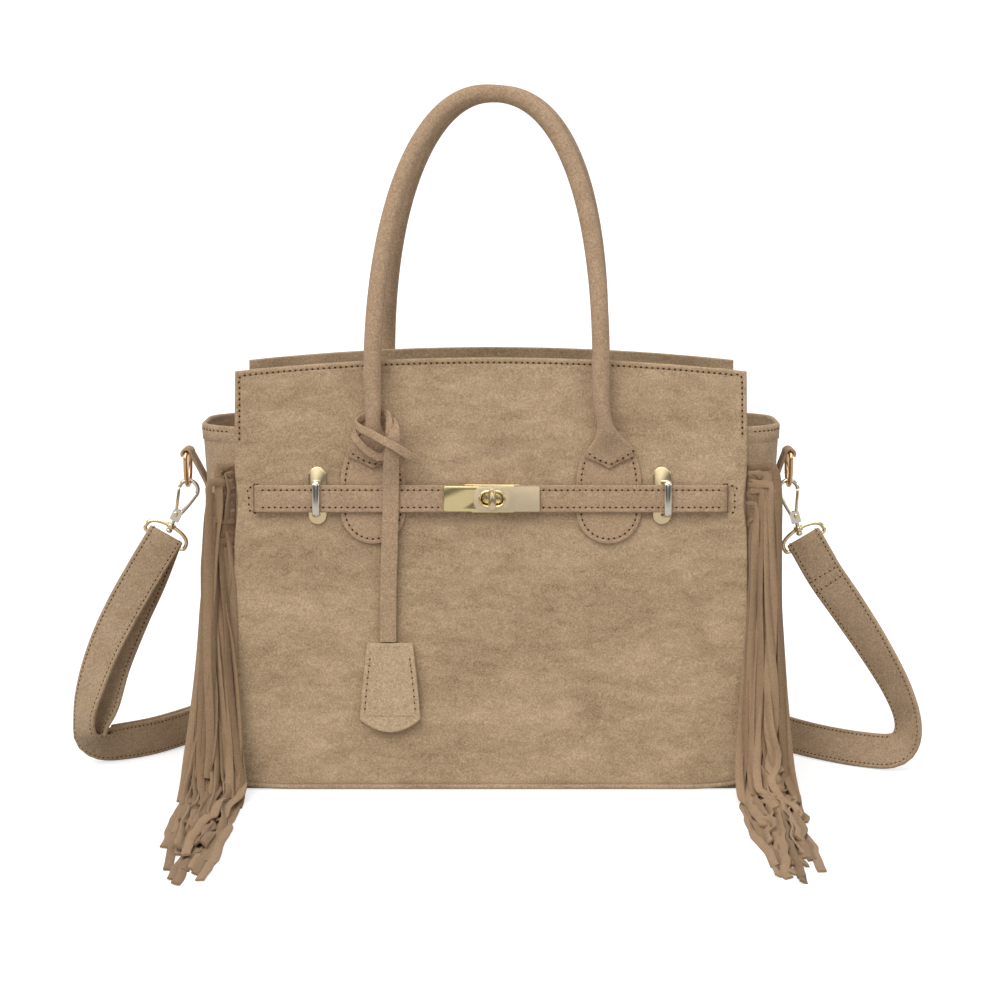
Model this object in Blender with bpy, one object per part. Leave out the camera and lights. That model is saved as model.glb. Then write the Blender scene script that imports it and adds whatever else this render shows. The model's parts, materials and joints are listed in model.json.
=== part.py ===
"""Fringed suede tote: a belted bag with two rolled handles, a turn lock, a hanging tag,
side fringes and a clip-on shoulder strap. Metres, +Z up, origin under the middle of the base,
front towards -Y.
"""
import math

import bmesh
import bpy
from mathutils import Matrix, Vector

# ---- driving dimensions, in metres ----
GAP = 0.0003              # clearance kept between pieces that touch
BASE_WIDTH = 0.342        # body width at the base
TOP_WIDTH = 0.336         # body width at the top edge
BASE_DEPTH = 0.140        # front face to back face at the base
TOP_DEPTH = 0.090         # front face to back face at the top edge
PANEL_HEIGHT = 0.285      # middle of the arched top edge
TOP_ARCH = 0.009          # how far the top corners lie below the middle
PANEL_WALL = 0.003        # suede, stiffener and backing
BASE_WALL = 0.003
BOARD_WALL = 0.002
GUSSET_WIDTH = 0.332      # over both gussets, at their seams
GUSSET_HEIGHT = 0.239
GUSSET_BULGE = 0.028      # how far the rim stands out of its seams
GUSSET_WALL = 0.0025
LINING_HEIGHT = 0.225
LINING_WALL = 0.001

HANDLE_SPAN = 0.0745      # half the distance between a handle's legs
HANDLE_SHIFT = {-1: -0.0027, 1: 0.0016}   # front one a little left, back one a little right
HANDLE_SPRING = 0.270     # height where the arch begins
HANDLE_TOP = 0.4567       # height of the arch's centre line
HANDLE_POWER = {1: 2.42, -1: 2.15}   # superellipse exponents, right and left half
HANDLE_RADIUS = 0.0059
HANDLE_STANDOFF = 0.0095  # centre line above the panel's face
TAB_X = 0.0775            # tabs each side of the middle
TAB_HALF = 0.0215         # half width, and radius of the round foot
TAB_FOOT = 0.1637         # lowest point, measured up the panel
TAB_WALL = 0.0017

BELT_HEIGHT = 0.1935      # belt's centre line, measured up the panel
BELT_WIDTH = 0.018
BELT_WALL = 0.0024
BELT_BACK = 0.0026        # belt's back above the panel's face
SLIT_X = 0.1545
LOCK_X = 0.0009           # turn lock's axis
SLOT_LENGTH = 0.0150
SLOT_WIDTH = 0.0085
STAPLE_X = (-0.1140, 0.1125)
STAPLE_LEAN = (-0.0007, 0.0036)   # sideways lean of each loop's bar

RING_BAR_Z = 0.2165       # D-ring bars in the side tabs
RING_X = (-0.2060, 0.2022)
RING_DROP = 0.0222        # bar to the bottom of the D
RING_WIRE = 0.0015        # wire radius
HOOK_WIRE = 0.0014
HOOK_ARCH = 0.0064        # radius of the hook's round top
HOOK_STEM = 0.0279        # arch centre to swivel collar
HOOK_TILT = (26.0, 15.0)  # degrees from upright, tops leaning to the bag
STRAP_RING_TILT = (30.0, 31.0)
STRAP_RING_HEIGHT = 0.0108
STRAP_RING_HALF = 0.0153

STRAP_WIDTH = 0.025
STRAP_WALL = 0.0030
LACE_WALL = 0.0016
TAG_BOTTOM = 0.0390
TAG_HEIGHT = 0.0590

LEAN = math.atan2((BASE_DEPTH - TOP_DEPTH) / 2, PANEL_HEIGHT)


# ---- materials ----
def make_material(name, colour, roughness, metallic):
    """A plain Principled finish."""
    material = bpy.data.materials.new(name)
    material.use_nodes = True
    shader = material.node_tree.nodes["Principled BSDF"]
    shader.inputs["Base Color"].default_value = (*colour, 1.0)
    shader.inputs["Roughness"].default_value = roughness
    shader.inputs["Metallic"].default_value = metallic
    return material


def make_materials():
    """Every finish of the bag, by name."""
    return {
        "suede": make_material("suede", (0.42, 0.29, 0.18), 0.95, 0.0),
        "lining_cloth": make_material("lining_cloth", (0.17, 0.11, 0.065), 0.9, 0.0),
        "board": make_material("board", (0.10, 0.09, 0.08), 0.8, 0.0),
        "pale_gold": make_material("pale_gold", (0.72, 0.58, 0.34), 0.18, 1.0),
    }


# ---- mesh helpers ----
def new_object(name, mesh, material, parent=None, location=(0, 0, 0)):
    """Link a mesh as one named object, placed by its location under an optional parent."""
    obj = bpy.data.objects.new(name, mesh)
    obj.data.materials.append(material)
    bpy.context.scene.collection.objects.link(obj)
    obj.location = location
    obj.parent = parent
    return obj


def skin(loops, ring=False, smooth=False):
    """Closed mesh through equal closed loops: bridged in order, capped unless it is a ring."""
    bm = bmesh.new()
    rows = [[bm.verts.new(point) for point in loop] for loop in loops]
    count = len(rows[0])
    pairs = list(zip(rows[:-1], rows[1:]))
    if ring:
        pairs.append((rows[-1], rows[0]))
    for low, high in pairs:
        for i in range(count):
            j = (i + 1) % count
            bm.faces.new((low[i], low[j], high[j], high[i]))
    if not ring:
        bm.faces.new(list(reversed(rows[0])))
        bm.faces.new(rows[-1])
    bmesh.ops.recalc_face_normals(bm, faces=bm.faces)
    mesh = bpy.data.meshes.new("mesh")
    bm.to_mesh(mesh)
    bm.free()
    if smooth:
        mesh.shade_smooth()
        mesh.set_sharp_from_angle(angle=math.radians(40))
    return mesh


def slab(outline, low, high):
    """Flat piece: an outline in XY, solid from low to high along Z."""
    return skin([[(x, y, low) for x, y in outline], [(x, y, high) for x, y in outline]])


def ellipse(rx, ry, count, cx=0.0, cy=0.0):
    """Points of an ellipse, or of a circle."""
    angles = [2 * math.pi * i / count for i in range(count)]
    return [(cx + rx * math.cos(a), cy + ry * math.sin(a)) for a in angles]


def stadium(half_width, half_height, count=8, cx=0.0, cy=0.0):
    """Upright slot shape: half circles above and below straight sides."""
    straight = half_height - half_width
    points = []
    for sign in (1, -1):
        for i in range(count + 1):
            a = math.pi * i / count + (0 if sign > 0 else math.pi)
            x = cx + half_width * math.cos(a)
            y = cy + sign * straight + half_width * math.sin(a)
            points.append((x, y))
    return points


def rounded_box(x0, y0, x1, y1, radius, count=3):
    """Rectangle with round corners, from (x0, y0) to (x1, y1)."""
    corners = (
        (x1 - radius, y1 - radius, 0),
        (x0 + radius, y1 - radius, 90),
        (x0 + radius, y0 + radius, 180),
        (x1 - radius, y0 + radius, 270),
    )
    points = []
    for cx, cy, start in corners:
        for i in range(count + 1):
            a = math.radians(start + 90 * i / count)
            points.append((cx + radius * math.cos(a), cy + radius * math.sin(a)))
    return points


def smooth_path(points, step):
    """Stations along a smooth curve through hand-set ones; extra values ride along."""
    rows = [[float(v) for v in point] for point in points]
    ends = [rows[0]] + rows + [rows[-1]]
    path = []
    for a, b, c, d in zip(ends, ends[1:], ends[2:], ends[3:]):
        count = max(1, round(math.dist(b[:3], c[:3]) / step))
        for k in range(count):
            t = k / count
            path.append([
                0.5 * (2 * q + (r - p) * t + (2 * p - 5 * q + 4 * r - s) * t * t
                       + (3 * q - p - 3 * r + s) * t ** 3)
                for p, q, r, s in zip(a, b, c, d)
            ])
    path.append(rows[-1])
    return path


def sweep(points, across, profiles, ring=False, smooth=True):
    """Solid along a path. across: one vector or one for each point, the section's x way.
    profiles: one section or one for each point, as (x, y) pairs."""
    path = [Vector(p) for p in points]
    last = len(path) - 1
    loops = []
    for i, point in enumerate(path):
        before = path[i - 1] if i or ring else path[0]
        after = path[(i + 1) % len(path)] if i < last or ring else path[last]
        tangent = (after - before).normalized()
        side = Vector(across[i] if isinstance(across[0], (list, tuple, Vector)) else across)
        side = (side - tangent * side.dot(tangent)).normalized()
        depth = tangent.cross(side)
        section = profiles[i] if isinstance(profiles[0], list) else profiles
        loops.append([point + side * x + depth * y for x, y in section])
    return skin(loops, ring=ring, smooth=smooth)


def flat_section(width, wall):
    """Section of a flat strip."""
    x, y = width / 2, wall / 2
    return [(x, y), (-x, y), (-x, -y), (x, -y)]


def boolean(target, tool_mesh, operation, material, location=(0, 0, 0)):
    """Join or cut a tool shape, placed under the target's own parent."""
    tool = new_object("tool_" + target.name, tool_mesh, material, target.parent, location)
    tool.hide_render = True
    tool.display_type = "WIRE"
    modifier = target.modifiers.new(operation.title(), "BOOLEAN")
    modifier.operation = operation
    modifier.solver = "EXACT"
    modifier.object = tool


# ---- frames ----
def face_height(z):
    """Distance of the front face from the middle plane at a height."""
    return BASE_DEPTH / 2 - z * math.tan(LEAN)


def face_empty(name, side):
    """Empty on a panel's foot: X across, Y up the panel, Z out of its face."""
    empty = bpy.data.objects.new(name, None)
    bpy.context.scene.collection.objects.link(empty)
    across = Vector((-side, 0, 0))
    up = Vector((0, -side * math.sin(LEAN), math.cos(LEAN)))
    out = across.cross(up)
    place = Matrix((across, up, out)).transposed().to_4x4()
    place.translation = (0, side * BASE_DEPTH / 2, 0)
    empty.matrix_world = place
    return empty


def clasp_empty(name, x, z, tilt):
    """Empty at a clasp's collar: X towards the bag's middle side, Y up the stem, Z to the back."""
    empty = bpy.data.objects.new(name, None)
    bpy.context.scene.collection.objects.link(empty)
    side = -1 if x < 0 else 1
    up = Vector((-side * math.sin(tilt), 0, math.cos(tilt)))
    inward = Vector((-side * math.cos(tilt), 0, -math.sin(tilt)))
    place = Matrix((inward, up, inward.cross(up))).transposed().to_4x4()
    place.translation = (x, 0, z)
    empty.matrix_world = place
    return empty


# ---- body ----
def build_panels(finish, faces):
    """Front and back panels with an arched top; the front one has the belt's two slits."""
    foot = 0.0005
    outline = [(-BASE_WIDTH / 2, foot), (BASE_WIDTH / 2, foot)]
    steps = 16
    for i in range(steps + 1):
        t = 1 - 2 * i / steps
        x = t * TOP_WIDTH / 2
        outline.append((x, (PANEL_HEIGHT - TOP_ARCH * t * t) / math.cos(LEAN)))
    front = new_object("front_panel", slab(outline, -PANEL_WALL, 0), finish["suede"], faces[0])
    new_object("back_panel", slab(outline, -PANEL_WALL, 0), finish["suede"], faces[1])
    half = BELT_WIDTH / 2 + GAP
    for sign in (-1, 1):
        cutter = rounded_box(-0.0016, -half, 0.0016, half, 0.0008, 2)
        place = (sign * SLIT_X, BELT_HEIGHT, 0)
        boolean(front, slab(cutter, -0.01, 0.01), "DIFFERENCE", finish["suede"], place)


def gusset_x(z, t):
    """Outer face of a gusset at a height, t from -1 at the front seam to 1 at the back seam."""
    rise = (z / GUSSET_HEIGHT) ** 0.6
    return GUSSET_WIDTH / 2 + GUSSET_BULGE * rise * (1 - abs(t) ** 4)


def build_gussets(finish):
    """Bowed side walls between the two panels."""
    columns = 14
    heights = [0.0004, 0.012, 0.03, 0.06, 0.10, 0.15, 0.20, GUSSET_HEIGHT]
    for name, side in (("left_gusset", -1), ("right_gusset", 1)):
        loops = []
        for z in heights:
            half = face_height(z) - PANEL_WALL / math.cos(LEAN) - GAP
            ts = [-1 + 2 * i / columns for i in range(columns + 1)]
            outer = [(side * gusset_x(z, t), t * half, z) for t in ts]
            inner = [(side * (gusset_x(z, t) - GUSSET_WALL), t * half, z) for t in ts]
            loops.append(outer + inner[::-1])
        new_object(name, skin(loops), finish["suede"])


def build_base(finish):
    """Bottom panel and the stiff board that lies on it inside."""
    half_x = GUSSET_WIDTH / 2 - GUSSET_WALL - GAP
    half_y = BASE_DEPTH / 2 - PANEL_WALL - 2 * GAP - 0.0002
    outline = [(-half_x, -half_y), (half_x, -half_y), (half_x, half_y), (-half_x, half_y)]
    new_object("base_panel", slab(outline, 0, BASE_WALL), finish["suede"])
    board = rounded_box(-half_x + 0.003, -half_y + 0.003, half_x - 0.003, half_y - 0.003, 0.01)
    low = BASE_WALL + GAP
    new_object("base_board", slab(board, low, low + BOARD_WALL), finish["board"])


def build_lining(finish):
    """Cloth bag inside the body: a thin open box that narrows to the top."""
    low = BASE_WALL + BOARD_WALL + 2 * GAP
    half_x = GUSSET_WIDTH / 2 - GUSSET_WALL - 2 * GAP

    def loop(z, inset):
        y = face_height(z) - PANEL_WALL / math.cos(LEAN) - 2 * GAP - inset
        x = half_x - inset
        return [(px, py, z) for px, py in rounded_box(-x, -y, x, y, 0.008)]

    floor = low + LINING_WALL
    loops = [loop(low, 0), loop(LINING_HEIGHT, 0)]
    loops += [loop(LINING_HEIGHT, LINING_WALL), loop(floor, LINING_WALL)]
    new_object("lining", skin(loops), finish["lining_cloth"])


# ---- handles ----
def handle_point(angle, side):
    """Centre line of a handle's arch; angle 0 at the right leg, pi at the left."""
    c, s = math.cos(angle), max(math.sin(angle), 0.0)
    power = 2 / HANDLE_POWER[1 if c > 0 else -1]
    x = HANDLE_SHIFT[side] + HANDLE_SPAN * math.copysign(abs(c) ** power, c)
    z = HANDLE_SPRING + (HANDLE_TOP - HANDLE_SPRING) * s ** power
    top = HANDLE_RADIUS + 0.0004
    start = 0.292
    lean = min(max((z - start) / (HANDLE_TOP - start), 0), 1)
    leg = face_height(min(z, start)) + HANDLE_STANDOFF
    return (x, side * (leg + (top - leg) * lean ** 1.15), z)


# a handle's end: up the panel, out of its face, half width, half thickness
FLARE = (
    (0.2140, 0.0034, 0.0012, 0.0009),
    (0.2172, 0.0036, 0.0075, 0.0011),
    (0.2212, 0.0039, 0.0165, 0.0013),
    (0.2262, 0.0046, 0.0158, 0.0019),
    (0.2312, 0.0060, 0.0110, 0.0032),
    (0.2372, 0.0080, 0.0068, 0.0045),
    (0.2450, 0.0093, 0.0049, 0.0050),
    (0.2560, 0.0095, 0.0056, 0.0056),
)
HANDLE_SIDES = 10
ARCH_STEPS = 26


def handle_end(side, hand):
    """Points and sections of one flared end, from its tip up to the tube."""
    points, sections = [], []
    for up, out, wide, thick in FLARE:
        shift = HANDLE_SHIFT[side] * min(1, max(0, (up - 0.23) / 0.03))
        reach = TAB_X + (HANDLE_SPAN - TAB_X) * min(1, max(0, (up - 0.225) / 0.03))
        z = up * math.cos(LEAN) + out * math.sin(LEAN)
        y = face_height(0) - up * math.sin(LEAN) + out * math.cos(LEAN)
        points.append((shift + hand * reach, side * y, z))
        sections.append(ellipse(wide, thick, HANDLE_SIDES))
    return points, sections


def build_handles(finish):
    """Rolled handles: round tubes whose ends narrow, then flare flat on to the tabs."""
    for name, side in (("front_handle", -1), ("back_handle", 1)):
        right, right_sections = handle_end(side, 1)
        left, left_sections = handle_end(side, -1)
        arch = [handle_point(math.pi * i / ARCH_STEPS, side) for i in range(ARCH_STEPS + 1)]
        tube = [ellipse(HANDLE_RADIUS, HANDLE_RADIUS, HANDLE_SIDES)] * len(arch)
        points = right + arch + left[::-1]
        across = []
        for i in range(len(points)):
            turn = min(max((i - len(right)) / ARCH_STEPS, 0), 1) * math.pi
            across.append((math.cos(turn), 0, math.sin(turn)))
        mesh = sweep(points, across, right_sections + tube + left_sections[::-1])
        new_object(name, mesh, finish["suede"])


def tab_outline():
    """Rounded patch under a handle's end: round foot, straight sides, narrowing shoulders."""
    points = []
    for i in range(13):
        a = math.pi + math.pi * i / 12
        points.append((TAB_HALF * math.cos(a), TAB_FOOT + TAB_HALF + TAB_HALF * math.sin(a)))
    shoulder = ((0.0214, 0.2060), (0.0205, 0.2130), (0.0187, 0.2195), (0.0166, 0.2262),
                (0.0120, 0.2330), (0.0072, 0.2375))
    points += shoulder
    points += [(-x, y) for x, y in reversed(shoulder)]
    return points


def build_tabs(finish, faces):
    """The four stitched patches that the handles end on."""
    outline = tab_outline()
    for face, word, hands in ((faces[0], "front", (-1, 1)), (faces[1], "back", (1, -1))):
        for hand, name in zip(hands, ("left", "right")):
            mesh = slab(outline, GAP, GAP + TAB_WALL)
            place = (hand * TAB_X, 0, 0)
            new_object(f"{word}_{name}_tab", mesh, finish["suede"], face, place)


# ---- belt and lock ----
def build_belts(finish, face):
    """Two belt halves, each coming out of a slit and ending behind its lock plate."""
    middle = BELT_BACK + BELT_WALL / 2
    for name, sign, end in (("left_belt", -1, -0.0125), ("right_belt", 1, 0.0150)):
        route = [(sign * SLIT_X, -0.0024), (sign * SLIT_X, 0.0006)]
        for i in range(1, 6):
            a = math.radians(90 * i / 5)
            bend = middle - 0.0006
            route.append((sign * (SLIT_X - bend * (1 - math.cos(a))), 0.0006 + bend * math.sin(a)))
        route.append((end, middle))
        points = [(x, BELT_HEIGHT, n) for x, n in route]
        mesh = sweep(points, (0, 1, 0), flat_section(BELT_WIDTH, BELT_WALL), smooth=False)
        new_object(name, mesh, finish["suede"], face)


def build_lock(finish, face):
    """Turn lock: a base plate with a collar, two slotted plates and the turning toggle."""
    gold = finish["pale_gold"]
    place = (LOCK_X, BELT_HEIGHT, 0)
    outline = rounded_box(-0.0185, -0.0092, 0.0185, 0.0092, 0.001)
    base = new_object("lock_base_plate", slab(outline, GAP, 0.0015), gold, face, place)
    collar = slab(ellipse(0.0036, 0.0036, 20), 0.001, 0.0045)
    boolean(base, collar, "UNION", gold, place)
    boolean(base, slab(ellipse(0.0022, 0.0022, 20), 0.0009, 0.006), "DIFFERENCE", gold, place)

    slot = [(y, x) for x, y in stadium(SLOT_WIDTH / 2, SLOT_LENGTH / 2, 8)][::-1]
    back = BELT_BACK + BELT_WALL + GAP
    left = rounded_box(-0.0319, -0.00825, 0.0125, 0.00825, 0.0014)
    plate = new_object("left_lock_plate", slab(left, back, back + 0.001), gold, face, place)
    boolean(plate, slab(slot, 0, 0.02), "DIFFERENCE", gold, place)

    front = back + 0.001 + GAP
    right = rounded_box(0.0, -0.00825, 0.0311, 0.00825, 0.001)
    plate = new_object("right_lock_plate", slab(right, front, front + 0.0012), gold, face, place)
    disc = []
    for x, y in ellipse(0.0123, 0.0123, 40):
        disc.append((x, min(max(y, -0.00822), 0.00822)))
    boolean(plate, slab(disc, front, front + 0.0019), "UNION", gold, place)
    boolean(plate, slab(slot, 0, 0.02), "DIFFERENCE", gold, place)

    top = front + 0.0019 + GAP
    head = stadium(0.0025, 0.0071, 8)
    toggle = new_object("lock_toggle", slab(head, top, top + 0.0024), gold, face, place)
    boolean(toggle, slab(ellipse(0.0019, 0.0019, 16), 0.0013, top + 0.001), "UNION", gold, place)
    eye = slab(ellipse(0.0011, 0.0011, 12, 0, 0.0044), top - 0.001, top + 0.004)
    boolean(toggle, eye, "DIFFERENCE", gold, place)


def build_staples(finish, face):
    """Oval plates with a loop each, which the belt passes under."""
    gold = finish["pale_gold"]
    top = 0.0073
    for word, x, lean in zip(("left", "right"), STAPLE_X, STAPLE_LEAN):
        place = (x, BELT_HEIGHT + 0.0020, 0)
        plate = slab(stadium(0.0060, 0.0190, 8), GAP, 0.0015)
        new_object(f"{word}_staple_plate", plate, gold, face, place)
        reach, bend = 0.0110, 0.0022
        foot = lean * 0.4
        route = [(foot, -reach, 0.0015 + GAP), (foot, -reach, 0.0034)]
        for i in range(5):
            a = math.radians(90 * i / 4)
            route.append((lean, -reach + bend * (1 - math.cos(a)), top - bend * (1 - math.sin(a))))
        route += [(px, -py, pz) for px, py, pz in reversed(route)]
        mesh = sweep(route, (1, 0, 0), ellipse(0.0025, 0.0013, 10))
        new_object(f"{word}_staple_loop", mesh, gold, face, (x, BELT_HEIGHT, 0))


# ---- side rings and clasps ----
def build_side_tabs(finish):
    """Suede strips on the gussets, each rolled over the bar of its D-ring."""
    for word, ring_x in zip(("left", "right"), RING_X):
        side = -1 if ring_x < 0 else 1
        bar = abs(ring_x)
        wall, width = 0.0020, 0.018
        bend = RING_WIRE + GAP + wall / 2 + 0.0002
        route = []
        for z in (0.1740, 0.1840, 0.1940):
            route.append((gusset_x(z, 0) + GAP + 0.0002 + wall / 2, z))
        route.append(((route[-1][0] + bar - bend) / 2 - 0.0008, 0.2045))
        for i in range(10):
            a = math.radians(180 - 24 * i)
            route.append((bar + bend * math.cos(a), RING_BAR_Z + bend * math.sin(a)))
        points = [(side * x, 0, z) for x, z in route]
        mesh = sweep(points, (0, 1, 0), flat_section(width, wall), smooth=False)
        new_object(f"{word}_ring_tab", mesh, finish["suede"])


def d_outline(half, height, arc_steps, corner=0.003, corner_steps=3):
    """Centre line of a D: a straight bar at y = 0 and an arch that reaches y = -height."""
    points = [(half - corner, 0.0)]
    for i in range(1, corner_steps + 1):
        a = math.radians(90 - 90 * i / corner_steps)
        points.append((half - corner + corner * math.cos(a), -corner + corner * math.sin(a)))
    drop = height - corner
    for i in range(1, arc_steps):
        a = math.pi * i / arc_steps
        points.append((half * math.cos(a), -corner - drop * math.sin(a) ** 0.7))
    for i in range(corner_steps + 1):
        a = math.radians(180 - 90 * i / corner_steps)
        points.append((corner - half + corner * math.cos(a), -corner + corner * math.sin(a)))
    return points


def build_d_rings(finish):
    """D-rings that hang in the side tabs, their bars along Y on the hinge axis."""
    for word, ring_x in zip(("left", "right"), RING_X):
        outline = d_outline(0.0125, RING_DROP, 14)
        points = [(0, y, z) for y, z in outline]
        mesh = sweep(points, (1, 0, 0), ellipse(RING_WIRE, RING_WIRE, 8), ring=True)
        new_object(f"{word}_d_ring", mesh, finish["pale_gold"], None, (ring_x, 0, RING_BAR_Z))


def clasp_place(index):
    """Collar centre and stem tilt of one clasp, hanging on its D-ring's foot."""
    side = -1 if index == 0 else 1
    tilt = math.radians(HOOK_TILT[index])
    foot = RING_BAR_Z - RING_DROP
    arch_z = foot + RING_WIRE + HOOK_WIRE + GAP - HOOK_ARCH
    x = RING_X[index] + side * HOOK_STEM * math.sin(tilt)
    return x, arch_z - HOOK_STEM * math.cos(tilt), tilt


def build_clasps(finish):
    """Snap hooks: a bent frame with a forked block and stem, a sprung gate and its rivet."""
    gold = finish["pale_gold"]
    pivot = Vector((-0.0006, 0.0092, 0))
    tip = Vector((-0.0062, 0.0262, 0))
    for index, word in enumerate(("left", "right")):
        x, z, tilt = clasp_place(index)
        frame = clasp_empty(f"{word}_clasp", x, z, tilt)
        route = []
        for i in range(15):
            a = math.radians(190 - 205 * i / 14)
            route.append((HOOK_ARCH * math.cos(a), HOOK_STEM + HOOK_ARCH * math.sin(a), 0))
        route += [(0.0044, 0.0180, 0), (0.0026, 0.0120, 0), (0.0016, 0.0085, 0)]
        wire = sweep(route, (0, 0, 1), ellipse(HOOK_WIRE, HOOK_WIRE, 8))
        hook = new_object(f"{word}_hook", wire, gold, frame)
        block = rounded_box(-0.0031, 0.0044, 0.0033, 0.0124, 0.0016)
        boolean(hook, slab(block, -0.0025, 0.0025), "UNION", gold)
        stem = []
        for y, r in ((0.0060, 0.0013), (-0.0020, 0.0013), (-0.0023, 0.0020), (-0.0037, 0.0022),
                     (-0.0048, 0.0014)):
            stem.append([(px, y, pz) for px, pz in ellipse(r, r, 12)])
        boolean(hook, skin(stem), "UNION", gold)
        slot = [(-0.0060, 0.0068), (0.0018, 0.0068), (0.0018, 0.0150), (-0.0060, 0.0150)]
        boolean(hook, slab(slot, -0.0014, 0.0014), "DIFFERENCE", gold)
        hole = slab(ellipse(0.0011, 0.0011, 12, pivot.x, pivot.y), -0.004, 0.004)
        boolean(hook, hole, "DIFFERENCE", gold)

        along = (tip - pivot).normalized()
        bar = sweep([along * 0.0012, tip - pivot], (0, 0, 1), ellipse(0.0010, 0.0010, 8))
        gate = new_object(f"{word}_gate", bar, gold, frame, pivot)
        knuckle = slab(ellipse(0.0020, 0.0020, 16), -0.0011, 0.0011)
        boolean(gate, knuckle, "UNION", gold, pivot)
        bore = slab(ellipse(0.0011, 0.0011, 12), -0.003, 0.003)
        boolean(gate, bore, "DIFFERENCE", gold, pivot)

        rivet = []
        for h, r in ((-0.0034, 0.0012), (-0.0032, 0.0016), (-0.0028, 0.0016), (-0.0028, 0.0008),
                     (0.0028, 0.0008), (0.0028, 0.0016), (0.0032, 0.0016), (0.0034, 0.0012)):
            rivet.append([(px, py, h) for px, py in ellipse(r, r, 12)])
        new_object(f"{word}_gate_rivet", skin(rivet), gold, frame, pivot)


def build_strap_rings(finish):
    """D-shaped rings for the strap, each with a collar that the clasp's stem turns in."""
    gold = finish["pale_gold"]
    for index, word in enumerate(("left", "right")):
        x, z, tilt = clasp_place(index)
        collar_frame = clasp_empty(f"{word}_collar", x, z, tilt)
        ring_frame = clasp_empty(f"{word}_strap_ring_frame", x, z,
                                 math.radians(STRAP_RING_TILT[index]))
        turn = ring_frame.matrix_world.inverted() @ collar_frame.matrix_world
        outline = d_outline(STRAP_RING_HALF, STRAP_RING_HEIGHT, 16, 0.0022)
        points = [(px, -py - STRAP_RING_HEIGHT, 0) for px, py in outline]
        mesh = sweep(points, (0, 0, 1), ellipse(0.0013, 0.0013, 8), ring=True)
        ring = new_object(f"{word}_strap_ring", mesh, gold, ring_frame)
        collar = skin([[(px, y, pz) for px, pz in ellipse(0.0031, 0.0031, 16)]
                       for y in (-0.0014, 0.0016)])
        collar.transform(turn)
        boolean(ring, collar, "UNION", gold)
        bore = skin([[(px, y, pz) for px, pz in ellipse(0.0018, 0.0018, 16)]
                     for y in (-0.0050, 0.0050)])
        bore.transform(turn)
        boolean(ring, bore, "DIFFERENCE", gold)


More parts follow.
